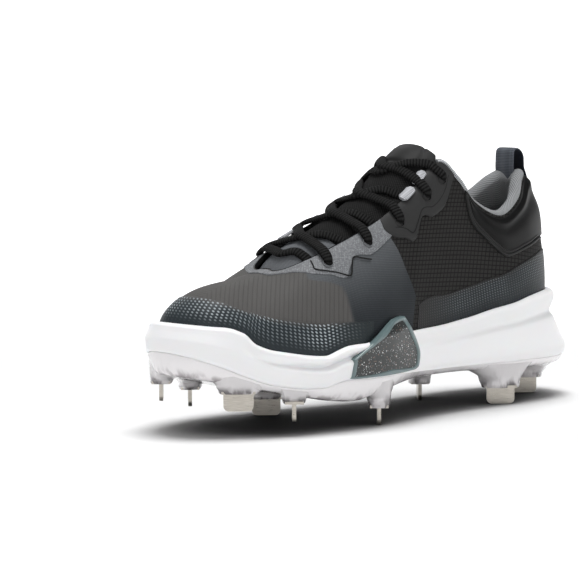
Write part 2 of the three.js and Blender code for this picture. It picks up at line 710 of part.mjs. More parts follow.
function bladeSolid(spike) {
  const half = BLADE_WIDTH / 2;
  const outline = new THREE.Shape();
  outline.moveTo(-half, BLADE_HEIGHT);
  outline.lineTo(-half, BLADE_CORNER);
  outline.absarc(-half + BLADE_CORNER, BLADE_CORNER, BLADE_CORNER, Math.PI, 1.5 * Math.PI, false);
  outline.absarc(half - BLADE_CORNER, BLADE_CORNER, BLADE_CORNER, 1.5 * Math.PI, 2 * Math.PI, false);
  outline.lineTo(half, BLADE_HEIGHT);
  const cut = { depth: BLADE_THICKNESS, bevelEnabled: false, curveSegments: 4 };
  const blade = new THREE.ExtrudeGeometry(outline, cut);
  blade.translate(0, 0, -BLADE_THICKNESS / 2);
  blade.rotateX(Math.PI / 2);
  const foot = new THREE.BoxGeometry(BLADE_WIDTH + 2, 2 * BLADE_FOOT, BLADE_FOOT_THICKNESS);
  foot.translate(0, 0, BLADE_HEIGHT - BLADE_FOOT_THICKNESS / 2);
  return toSolid(blade).add(toSolid(foot));
}

function insoleSolid() {
  const inner = (h, lift) =>
    ringOf((s) => {
      const p = offWall(s, h, -WALL - 2 * GAP);
      return p.setZ(bed(p.x) + GAP + lift);
    });
  return toSolid(ringSolid([inner(0, 0), inner(0.03, INSOLE)]));
}

// Tongue
// Centre line from the throat to the top; half: half width, crown: how far the middle stands above the sides.
const TONGUE = [
  { at: 0.773, z: 0.543, half: 0.28, crown: 1 },
  { at: 0.740, z: 0.616, half: 0.3, crown: 3 },
  { at: 0.710, z: 0.698, half: 0.34, crown: 6 },
  { at: 0.660, z: 0.760, half: 0.4, crown: 8 },
  { at: 0.600, z: 0.818, half: 0.43, crown: 10 },
  { at: 0.520, z: 0.903, half: 0.43, crown: 11 },
  { at: 0.447, z: 0.996, half: 0.41, crown: 11 },
  { at: 0.393, z: 1.078, half: 0.36, crown: 9 },
  { at: 0.360, z: 1.136, half: 0.34, crown: 8 },
  { at: 0.345, z: 1.155, half: 0.26, crown: 6 },
];

function tongueSolid() {
  const line = new THREE.CatmullRomCurve3(
    TONGUE.map((row) => new THREE.Vector3(row.at * LENGTH, 0, row.z * COLLAR_HEIGHT)),
  );
  const halves = new THREE.CatmullRomCurve3(
    TONGUE.map((row) => new THREE.Vector3(row.half * HALF_WIDTH, row.crown, 0)),
  );
  const steps = 16;
  const across = 8;
  const outer = [];
  const inner = [];
  for (let j = 0; j <= steps; j += 1) {
    const t = j / steps;
    const at = line.getPoint(t);
    const along = line.getTangent(t);
    const up = new THREE.Vector3(0, 1, 0).cross(along).normalize();
    if (up.z < 0) up.negate();
    const { x: half, y: crown } = halves.getPoint(t);
    outer.push([]);
    inner.push([]);
    for (let i = 0; i <= across; i += 1) {
      const v = (2 * i) / across - 1;
      const p = at.clone().addScaledVector(up, -crown * v * v);
      p.y = v * half;
      const thick = TONGUE_THICKNESS * (1 - 0.6 * Math.pow(Math.abs(v), 3));
      outer[j].push(p);
      inner[j].push(p.clone().addScaledVector(up, -thick));
    }
  }
  return toSolid(sheetSolid(outer, inner));
}

// Height of the tongue's crest at x.
function crest(x) {
  const k = TONGUE.findIndex((row) => row.at * LENGTH < x);
  if (k <= 0) return TONGUE[k === 0 ? 0 : TONGUE.length - 1].z * COLLAR_HEIGHT;
  const a = TONGUE[k - 1];
  const b = TONGUE[k];
  const t = (x / LENGTH - a.at) / (b.at - a.at);
  return (a.z + (b.z - a.z) * t) * COLLAR_HEIGHT;
}

// Lace
const LACE_STAND = 2 * GAP + OVERLAY + LACE_THICKNESS / 2 + 0.1; // centre above the upper

function runSolid(run) {
  const inner = EYELETS[run.eyelet];
  const ends = [
    { s: run.at, h: run.up },
    { s: TURN - inner.at, h: inner.up },
  ];
  const lips = ends.map(({ s }) => offWall(s, 1, LACE_STAND + 0.8));
  const middle = lips[0].clone().lerp(lips[1], 0.5);
  const lift = run.over * 0.55 * LACE_THICKNESS;
  middle.z = Math.max(middle.z + 0.5, crest(middle.x) + GAP + LACE_THICKNESS / 2 + 0.4) + lift;
  const stops = [
    offWall(ends[0].s, ends[0].h, LACE_STAND),
    offWall(ends[0].s, (ends[0].h + 1) / 2, LACE_STAND + 0.3),
    lips[0],
    middle,
    lips[1],
    offWall(ends[1].s, (ends[1].h + 1) / 2, LACE_STAND + 0.3),
    offWall(ends[1].s, ends[1].h, LACE_STAND),
  ];
  const curve = new THREE.CatmullRomCurve3(stops, false, "centripetal");
  const steps = 10;
  const points = curve.getSpacedPoints(steps);
  const first = wallNormal(ends[0].s, ends[0].h);
  const last = wallNormal(ends[1].s, ends[1].h);
  const top = new THREE.Vector3(0.35, 0, 1).normalize();
  const ups = points.map((_, i) => {
    const t = i / steps;
    return t < 0.5 ? first.clone().lerp(top, 2 * t) : top.clone().lerp(last, 2 * t - 1);
  });
  return sweepSolid(points, ups, LACE_WIDTH / 2, LACE_THICKNESS / 2, 6);
}

function laceSolid() {
  return RUNS.map(runSolid).reduce((all, run) => all.add(run));
}

// Pull loop: a band up the back of the heel, over and down inside the collar.
function loopSolid() {
  const across = 4;
  const bend = 6;
  const stationAt = (y, h) => {
    let low = 0;
    let high = 2;
    for (let i = 0; i < 20; i += 1) {
      const mid = (low + high) / 2;
      if (wall(mid, h).y < Math.abs(y)) low = mid;
      else high = mid;
    }
    return Math.sign(y) * low;
  };
  const face = (stand) =>
    evenly(-LOOP_WIDTH / 2, LOOP_WIDTH / 2, across).map((y) => {
      const out = (h) => offWall(stationAt(y, h), h, 3 * GAP + HEEL_PANEL + stand);
      const back = [out(0.72), out(0.82), out(0.92), out(1)];
      const pad = wallThickness(0, 1);
      const roll = offWall(0, 1, -pad / 2).add(new THREE.Vector3(pad / 4 + stand, 0, pad / 2));
      const front = [0.35 * LOOP_RISE, 3 * GAP].map((up) => roll.clone().setZ(roll.z + up));
      const from = back[3];
      const to = front[0];
      const arch = [];
      for (let i = 1; i < bend; i += 1) {
        const a = (Math.PI * i) / bend;
        const p = from.clone().lerp(to, (1 - Math.cos(a)) / 2);
        p.z += (LOOP_RISE - 0.2 * LOOP_RISE - LOOP_THICKNESS + stand) * Math.sqrt(Math.sin(a));
        arch.push(p);
      }
      return [...back, ...arch, ...front].map((p) => p.setY(y));
    });
  return toSolid(sheetSolid(face(LOOP_THICKNESS), face(0)));
}

const parts = new Map();
const colours = {
  shell: 0x1d1f22,
  film: 0x2b333a,
  smooth: 0x141518,
  white: 0xf2f2f2,
  clear: 0xd9d6d6,
  speckle: 0x4d5656,
  steel: 0xb9b2a6,
  grey: 0x6d7278,
  lace: 0x101113,
};

function material(colour, roughness = 0.7, metalness = 0) {
  return new THREE.MeshStandardMaterial({ color: colour, roughness, metalness });
}

const aboveRim = (s) => rimLevel(s) + 0.022;
const wallTop = () => 0.985;
const panelFoot = (s) => border(PANEL_FOOT, s) + 0.004;
const pipingCut = pipingTool(PIPING + GAP);
const edgeStations = (from, to) =>
  EYESTAY_FOOT.map(([s]) => s).filter((s) => s > from && s < to);
const outerRun = [...edgeStations(6.2, 14.9)];
const eyestayStations = [...outerRun, 13.5, 14, 14.5, 15].sort((a, b) => a - b);
const allEyestay = [...eyestayStations, ...eyestayStations.slice(0, -1).reverse().map((s) => TURN - s)];

parts.set("upper", [withEyelets(upperSolid()), material(colours.shell, 0.8)]);
parts.set("midsole", [midsoleSolid().subtract(insertPocket()), material(colours.white, 0.5)]);
parts.set("outsole_plate", [plateSolid(), material(colours.clear, 0.2)]);
parts.set("side_insert", [insertSolid(), material(colours.speckle, 0.3)]);
parts.set("insole", [insoleSolid(), material(colours.grey, 0.9)]);
parts.set("tongue", [tongueSolid(), material(colours.shell, 0.8)]);
parts.set("toe_guard", [
  overlaySolid(evenly(10.2, 21, 13), aboveRim, (s) => border(GUARD_TOP, s), 2, OVERLAY),
  material(colours.film, 0.5),
]);
parts.set("heel_counter", [
  overlaySolid(evenly(-7.3, 7.3, 16), aboveRim, (s) => border(COUNTER_TOP, s), 2, OVERLAY),
  material(colours.film, 0.5),
]);
parts.set("heel_panel", [
  overlaySolid(evenly(-5.5, 5.5, 18), panelFoot, () => 0.97, 2, HEEL_PANEL).subtract(pipingCut),
  material(colours.smooth, 0.6),
]);
parts.set("heel_piping", [pipingTool(PIPING).subtract(form(GAP)), material(colours.smooth, 0.5)]);
parts.set("eyestay", [
  withEyelets(overlaySolid(allEyestay, (s) => border(EYESTAY_FOOT, s), wallTop, 2, OVERLAY)),
  material(colours.film, 0.5),
]);
parts.set("laces", [laceSolid(), material(colours.lace, 0.9)]);
parts.set("pull_loop", [loopSolid(), material(colours.grey, 0.8)]);

const shoe = new THREE.Group();
for (const [name, [solid, finish]] of parts) {
  const mesh = new THREE.Mesh(toGeometry(solid), finish);
  mesh.name = name;
  shoe.add(mesh);
}
for (const spike of SPIKES) {
  const mesh = new THREE.Mesh(toGeometry(bladeSolid(spike)), material(colours.steel, 0.3, 1));
  mesh.name = `spike_${spike.name}`;
  mesh.position.set(spike.at * LENGTH, spike.side * HALF_WIDTH, bladeTip(spike));
  mesh.rotation.z = (spike.turn * Math.PI) / 180;
  shoe.add(mesh);
}

// The shoe stands centred over the origin.
const box = new THREE.Box3().setFromObject(shoe);
shoe.position.set(-(box.min.x + box.max.x) / 2, -(box.min.y + box.max.y) / 2, -box.min.z);

export default shoe;
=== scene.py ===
"""Looks of a low-top baseball cleat with metal spikes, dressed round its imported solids.

Sizes are millimetres in the maker's frame: x from the heel flare to the toe, y to the
outer side, z up from the ground. Last.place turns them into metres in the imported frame.
A place on the upper is a station s, counted from the heel round the toe, and a height h
from the feather line (0) to the topline or throat edge (1).
"""

import logging
import math
from dataclasses import dataclass, field
from enum import Enum
from typing import Callable, NamedTuple, Optional, Sequence, Union

import bmesh
import bpy
import numpy as np
from mathutils import Matrix, Vector


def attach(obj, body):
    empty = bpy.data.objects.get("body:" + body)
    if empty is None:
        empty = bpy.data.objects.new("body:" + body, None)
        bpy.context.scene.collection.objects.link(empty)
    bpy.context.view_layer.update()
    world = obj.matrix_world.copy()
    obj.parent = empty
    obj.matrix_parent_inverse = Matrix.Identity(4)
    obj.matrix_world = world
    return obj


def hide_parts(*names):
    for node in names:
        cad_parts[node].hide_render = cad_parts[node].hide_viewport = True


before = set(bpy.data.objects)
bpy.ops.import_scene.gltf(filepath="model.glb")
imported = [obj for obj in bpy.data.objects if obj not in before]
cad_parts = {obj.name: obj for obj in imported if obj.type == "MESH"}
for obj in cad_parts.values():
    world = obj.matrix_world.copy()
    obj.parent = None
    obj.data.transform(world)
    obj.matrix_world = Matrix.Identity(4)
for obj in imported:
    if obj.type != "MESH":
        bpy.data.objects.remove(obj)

LOG = logging.getLogger("cleat")
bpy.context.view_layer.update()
MM = 0.001
ROOT = "root"

Array = np.ndarray
Field = Callable[[Array], Array]
Piece = bpy.types.Object
Socket = bpy.types.NodeSocket
Value = Union[float, Sequence[float], Socket]
Colour = tuple[float, float, float, float]


# Sides and tables: lengths are shares of the last's sizes, if no unit is named


class Side(Enum):
    """The two sides of the shoe."""

    OUTER = "outer"
    INNER = "inner"

    def station(self, s: Array) -> Array:
        """Stations counted from the heel along this side, as stations round the shoe."""
        return s if self is Side.OUTER else TURN - s


class Station(NamedTuple):
    """One section of the upper's wall: feather line, topline and the handles between."""

    out_x: float
    out_y: float
    in_x: float
    in_y: float
    edge_x: float
    edge_y: float
    edge_z: float
    rise: float
    lean: float
    reach: float
    drop: float


class SoleRow(NamedTuple):
    """One section of the sole: footbed, plate lift, foot and rim of the white side, waist."""

    at: float
    bed: float
    lift: float
    low: float
    out_top: float
    in_top: float
    waist: float


class SideRow(NamedTuple):
    """How far the white side stands out beyond its rim at one section, in mm."""

    at: float
    lip: float
    groove: float
    ridge: float
    base: float


class Spike(NamedTuple):
    """Where a blade stands, as shares of length and half width, and its turn in degrees."""

    name: str
    at: float
    side: float
    turn: float


class TongueRow(NamedTuple):
    """One section of the tongue: its centre line, half width and crown in mm."""

    at: float
    z: float
    half: float
    crown: float


class LaceRun(NamedTuple):
    """One run: its outer place, inner eyelet, whether it lies on top, and its crossing in mm.

    A run whose outer height is 1 comes out from under the throat's edge, not out of an eyelet.
    """

    at: float
    up: float
    eyelet: int
    over: int
    crest: float


STATIONS = (
    Station(0.044, 0.00, 0.044, 0.00, 0.080, 0.00, 1.004, 0.33, 4, 0.9, 0.31),
    Station(0.055, 0.25, 0.055, 0.23, 0.093, 0.18, 1.008, 0.33, 4, 0.9, 0.31),
    Station(0.090, 0.42, 0.090, 0.38, 0.120, 0.30, 0.973, 0.34, 3.5, 0.9, 0.32),
    Station(0.150, 0.54, 0.150, 0.48, 0.158, 0.44, 0.895, 0.36, 3, 0.9, 0.34),
    Station(0.230, 0.60, 0.230, 0.51, 0.227, 0.55, 0.832, 0.36, 2, 1.0, 0.34),
    Station(0.307, 0.61, 0.307, 0.51, 0.293, 0.53, 0.894, 0.34, 2, 1.0, 0.3),
    Station(0.383, 0.63, 0.383, 0.54, 0.337, 0.50, 1.008, 0.3, 3, 0.8, 0.2),
    Station(0.460, 0.69, 0.460, 0.61, 0.377, 0.40, 1.089, 0.3, 4, 0.55, 0.1),
    Station(0.533, 0.79, 0.537, 0.70, 0.443, 0.34, 0.991, 0.3, 4.5, 0.6, 0.13),
    Station(0.613, 0.88, 0.623, 0.80, 0.527, 0.34, 0.888, 0.3, 4.5, 0.6, 0.15),
    Station(0.690, 0.89, 0.707, 0.83, 0.607, 0.33, 0.812, 0.3, 4.5, 0.6, 0.165),
    Station(0.770, 0.81, 0.783, 0.82, 0.677, 0.27, 0.743, 0.36, 5, 0.6, 0.18),
    Station(0.843, 0.67, 0.857, 0.74, 0.713, 0.17, 0.702, 0.47, 5, 0.58, 0.24),
    Station(0.903, 0.43, 0.912, 0.55, 0.733, 0.08, 0.678, 0.6, 7, 0.55, 0.32),
    Station(0.947, 0.19, 0.952, 0.36, 0.739, 0.04, 0.671, 0.7, 8.5, 0.54, 0.36),
    Station(0.963, -0.10, 0.963, 0.10, 0.740, 0.00, 0.670, 0.74, 9, 0.53, 0.37),
)
TOE = len(STATIONS) - 1
TURN = 2 * TOE

SOLE = (
    SoleRow(0, 1.0, 0.8, 0.55, 1.41, 1.41, 0),
    SoleRow(0.1, 1.0, 0.8, 0.55, 1.385, 1.38, 0),
    SoleRow(0.15, 0.99, 0.8, 0.555, 1.35, 1.35, 0.05),
    SoleRow(0.2, 0.98, 0.82, 0.56, 1.287, 1.29, 0.1),
    SoleRow(0.26, 0.95, 0.9, 0.565, 1.24, 1.25, 0.5),
    SoleRow(0.343, 0.9, 1.0, 0.57, 1.155, 1.2, 0.9),
    SoleRow(0.44, 0.82, 1.0, 0.58, 1.1, 1.16, 1.0),
    SoleRow(0.52, 0.755, 0.95, 0.6, 1.09, 1.14, 0.5),
    SoleRow(0.59, 0.71, 0.75, 0.61, 1.06, 1.08, 0.1),
    SoleRow(0.66, 0.667, 0.3, 0.61, 1.02, 1.0, 0),
    SoleRow(0.7, 0.655, 0.1, 0.58, 0.97, 0.95, 0),
    SoleRow(0.72, 0.65, 0.05, 0.54, 0.91, 0.9, 0),
    SoleRow(0.75, 0.637, 0, 0.45, 0.81, 0.83, 0),
    SoleRow(0.8, 0.62, 0, 0.39, 0.78, 0.8, 0),
    SoleRow(0.845, 0.611, 0, 0.375, 0.775, 0.79, 0),
    SoleRow(0.87, 0.614, 0, 0.4, 0.81, 0.83, 0),
    SoleRow(0.89, 0.616, 0, 0.43, 0.915, 0.88, 0),
    SoleRow(0.913, 0.62, 0, 0.47, 0.945, 0.92, 0),
    SoleRow(0.935, 0.622, 0, 0.515, 0.93, 0.925, 0),
    SoleRow(0.963, 0.624, 0, 0.59, 0.915, 0.915, 0),
)

SIDE = (
    SideRow(0.0, 2.8, -0.2, 4.0, 10.4),
    SideRow(0.06, 2.4, -0.3, 3.2, 8.8),
    SideRow(0.12, 1.4, -0.8, 2.0, 5.8),
    SideRow(0.22, 1.0, -0.8, 1.2, 3.6),
    SideRow(0.4, 0.8, 0.0, 0.8, 1.8),
    SideRow(0.55, 1.0, 0.6, 1.2, 1.4),
    SideRow(0.68, 1.4, -1.4, 1.7, 1.0),
    SideRow(0.78, 1.6, -2.1, 1.9, 0.8),
    SideRow(0.85, 1.6, 0.4, 2.0, 1.2),
    SideRow(0.9, 2.2, 3.0, 3.6, 3.0),
    SideRow(0.96, 2.6, 4.2, 5.2, 4.6),
)

SPIKES = (
    Spike("toe_inner", 0.928, -0.54, 48),
    Spike("toe_outer", 0.890, 0.44, -42),
    Spike("front_inner", 0.837, -0.70, 50),
    Spike("front_outer", 0.800, 0.72, 48),
    Spike("ball_inner", 0.663, -0.60, -42),
    Spike("ball_outer", 0.590, 0.74, 46),
    Spike("heel_inner", 0.287, -0.40, 48),
    Spike("heel_outer", 0.228, 0.56, -42),
    Spike("heel_back", 0.070, 0.06, -42),
)

TONGUE = (
    TongueRow(0.773, 0.555, 0.28, 1),
    TongueRow(0.740, 0.645, 0.36, 4),
    TongueRow(0.710, 0.722, 0.42, 8),
    TongueRow(0.660, 0.781, 0.48, 11),
    TongueRow(0.600, 0.842, 0.50, 14),
    TongueRow(0.520, 0.936, 0.50, 15),
    TongueRow(0.473, 1.006, 0.50, 15),
    TongueRow(0.437, 1.078, 0.50, 15),
    TongueRow(0.405, 1.134, 0.45, 11),
    TongueRow(0.383, 1.158, 0.36, 5),
)

# Eyelets as station and height, from the top down, and the runs of the lace between them.
EYELETS = ((6.75, 0.84), (7.35, 0.75), (8.35, 0.76), (9.4, 0.79), (10.05, 0.86), (10.6, 0.78))
RUNS = (
    LaceRun(6.75, 0.84, 1, 0, 138),
    LaceRun(8.05, 1.0, 2, 0, 157),
    LaceRun(9.05, 1.0, 3, 0, 176),
    LaceRun(9.95, 1.0, 5, 0, 201),
    LaceRun(11.1, 1.0, 5, 0, 215),
    LaceRun(10.6, 0.78, 3, 1, 201),
    LaceRun(9.4, 0.79, 2, 1, 176),
    LaceRun(8.35, 0.76, 1, 1, 156),
    LaceRun(7.35, 0.75, 0, 1, 136),
)

# The fifth place has no punched eyelet: its run passes under the throat's edge.
UNDER_EDGE = 4
# The first three are punched in the upper stay and the others in the lower one.
UPPER_EYELETS = 3

# The webbing tabs: their side, and the stations from the heel that they lie between.
TABS = (
    (Side.OUTER, 7.5, 7.78),
    (Side.OUTER, 7.9, 8.26),
    (Side.INNER, 8.75, 8.3),
    (Side.INNER, 9.4, 9.1),
    (Side.INNER, 10.35, 9.9),
)

# Borders of the overlays: height at a station counted from the heel.
GUARD_TOP = ((8.9, 0.29), (10, 0.34), (11, 0.35), (12, 0.37), (12.9, 0.41), (14.1, 0.46), (15, 0.47))
COUNTER_TOP = (
    (0, 0.46), (0.65, 0.47), (2, 0.5), (3.3, 0.52), (4.35, 0.46), (5.3, 0.36), (6.4, 0.28), (7.4, 0.26),
)
PANEL_FOOT = (
    (0, 0.53), (0.6, 0.54), (2.7, 0.62), (3.25, 0.64), (3.85, 0.66), (4.3, 0.73), (4.75, 0.79),
    (5.05, 0.81), (5.3, 0.84), (5.45, 0.9), (5.6, 0.96),
)
UPPER_STAY_FOOT = (
    (6.25, 0.97), (6.32, 0.88), (6.45, 0.75), (6.7, 0.66), (7.05, 0.62), (7.5, 0.66), (7.62, 0.62),
    (7.75, 0.58), (8.15, 0.64), (8.55, 0.7), (8.85, 0.8), (8.95, 0.95),
)
LOWER_STAY_FOOT = (
    (8.5, 0.72), (8.9, 0.7), (9.25, 0.69), (9.8, 0.74), (9.95, 0.69), (10.1, 0.62), (10.55, 0.68),
    (11.1, 0.745), (12, 0.86), (12.9, 0.91), (15, 0.93),
)
# The stitched grooves of the two stays.
LOWER_SEAM = (
    (9.32, 0.66), (9.6, 0.7), (9.86, 0.735), (9.93, 0.68), (10.0, 0.625), (10.4, 0.68), (10.95, 0.765),
    (11.05, 0.83), (11.13, 0.92),
)
UPPER_SEAM = (
    (6.5, 0.92), (6.58, 0.8), (6.8, 0.71), (7.1, 0.67), (7.5, 0.7), (7.68, 0.66), (7.85, 0.63),
    (8.15, 0.69), (8.5, 0.75),
)
# Where the side's cloth changes, as station at a height.
QUARTER_FRONT = ((0.0, 7.8), (0.16, 7.75), (0.31, 7.65), (0.5, 8.15), (0.73, 8.7), (1.0, 9.2))
VAMP_BACK = (
    (0.0, 9.7), (0.2, 9.8), (0.36, 9.97), (0.5, 10.12), (0.57, 10.25), (0.63, 10.6), (0.7, 11.2), (1.0, 11.6),
)
# The insert's outline, as shares of the last's length and the heel bed's height.
INSERT = (
    (0.704, 0.64), (0.7, 0.66), (0.697, 0.84), (0.693, 0.875), (0.645, 1.05), (0.588, 1.255), (0.578, 1.28),
    (0.559, 1.3), (0.548, 1.285), (0.53, 1.12), (0.513, 0.93), (0.508, 0.82), (0.511, 0.69), (0.517, 0.655),
    (0.535, 0.635), (0.62, 0.62), (0.69, 0.625),
)


# Curves


def smoothstep(low: float, high: float, x: Array) -> Array:
    """A soft step from 0 at low to 1 at high.

    Args:
        low: where the step starts.
        high: where it ends.
        x: the values read.

    Returns:
        The step's height at each value.
    """
    t = np.clip((np.asarray(x, float) - low) / (high - low), 0, 1)
    return t * t * (3 - 2 * t)


def swell(x: Array, centre: float, width: float) -> Array:
    """A soft bump of height 1 about a centre.

    Args:
        x: the values read.
        centre: where the bump is highest.
        width: how far out it has fallen to about a third.

    Returns:
        The bump's height at each value.
    """
    return np.exp(-(((np.asarray(x, float) - centre) / width) ** 2))


def fair(at: Sequence[float], values: Sequence[float], x: Array) -> Array:
    """A smooth curve through table values that never passes them.

    Args:
        at: places of the values, rising.
        values: the values.
        x: the places read.

    Returns:
        The curve at each place.
    """
    a, v = np.asarray(at, float), np.asarray(values, float)
    step, rise = np.diff(a), np.diff(v)
    slope = rise / step
    inner = np.where(
        slope[1:] * slope[:-1] > 0,
        2 * slope[1:] * slope[:-1] / np.where(slope[1:] + slope[:-1] == 0, 1, slope[1:] + slope[:-1]),
        0.0,
    )
    tangent = np.concatenate([[slope[0]], inner, [slope[-1]]])
    x = np.clip(np.asarray(x, float), a[0], a[-1])
    k = np.clip(np.searchsorted(a, x, side="right") - 1, 0, len(a) - 2)
    t = (x - a[k]) / step[k]
    return (
        v[k] * (1 + 2 * t) * (1 - t) ** 2
        + tangent[k] * step[k] * t * (1 - t) ** 2
        + v[k + 1] * t * t * (3 - 2 * t)
        + tangent[k + 1] * step[k] * t * t * (t - 1)
    )


def spline(four: Sequence[Array], t: Array) -> Array:
    """The rounded curve between the middle two of four neighbouring rows, at shares t."""
    p0, p1, p2, p3 = four
    curve = 2 * p1 + (p2 - p0) * t + (2 * p0 - 5 * p1 + 4 * p2 - p3) * t**2
    return 0.5 * (curve + (3 * p1 - p0 - 3 * p2 + p3) * t**3)


def through(points: Array, count: int) -> Array:
    """A rounded line through rows of points, each row a whole ring or table of places.

    Args:
        points: control rows, with the line running along the first axis.
        count: samples in each stretch between two rows.

    Returns:
        The sampled rows, ends included.
    """
    p = np.asarray(points, float)
    q = np.concatenate([[2 * p[0] - p[1]], p, [2 * p[-1] - p[-2]]])
    shares = np.linspace(0, 1, count, endpoint=False)
    out = [spline(q[i : i + 4], t) for i in range(len(p) - 1) for t in shares]
    return np.array(out + [p[-1]])


def travel(line: Array) -> Array:
    """Length along a line from its first point to each of its points."""
    return np.concatenate([[0], np.cumsum(np.linalg.norm(np.diff(line, axis=0), axis=1))])


def spaced(points: Array, count: int) -> Array:
    """Points spread evenly along a rounded line.

    Args:
        points: the line's control points.
        count: how many points to return.

    Returns:
        The evenly spread points.
    """
    fine = through(points, 24)
    run = travel(fine)
    even = np.linspace(0, run[-1], count)
    return np.stack([np.interp(even, run, fine[:, a]) for a in range(3)], axis=1)


def circle(count: int) -> Array:
    """Angles spread evenly round one turn."""
    return np.linspace(0, 2 * np.pi, count, endpoint=False)


def oval(count: int, power: float) -> Array:
    """Points round an oval of half width and height 1, the flatter the smaller the power."""
    a = circle(count)
    return np.stack([np.sign(f(a)) * np.abs(f(a)) ** power for f in (np.cos, np.sin)], axis=1)


def pairs(a: Array, b: Array) -> Array:
    """Two grids, spread to one shape, as a grid of pairs."""
    return np.stack(np.broadcast_arrays(a, b), axis=-1)


def from_ends(count: int) -> Array:
    """Share of a row's length between each of its points and the nearer end."""
    return np.minimum(np.linspace(0, 1, count), np.linspace(1, 0, count))


def all_round(count: int) -> Array:
    """Stations spread evenly round the shoe."""
    return np.linspace(0, TURN, count, endpoint=False)


def unit(v: Array) -> Array:
    """Vectors scaled to length one along the last axis."""
    return v / np.maximum(np.linalg.norm(v, axis=-1, keepdims=True), 1e-9)


def from_heel(s: Array) -> Array:
    """Stations counted from the heel on either side, so both sides read one border."""
    turn = np.mod(s, TURN)
    return np.minimum(turn, TURN - turn)


def border(rows: Sequence[tuple[float, float]]) -> Field:
    """A border as a function of the station.

    Args:
        rows: stations counted from the heel, each with a height.

    Returns:
        A function from stations to heights.
    """
    at, up = np.array(rows, float).T

    def height(s: Array) -> Array:
        """The border's height at stations s."""
        return fair(at, up, from_heel(s))

    return height


# The last


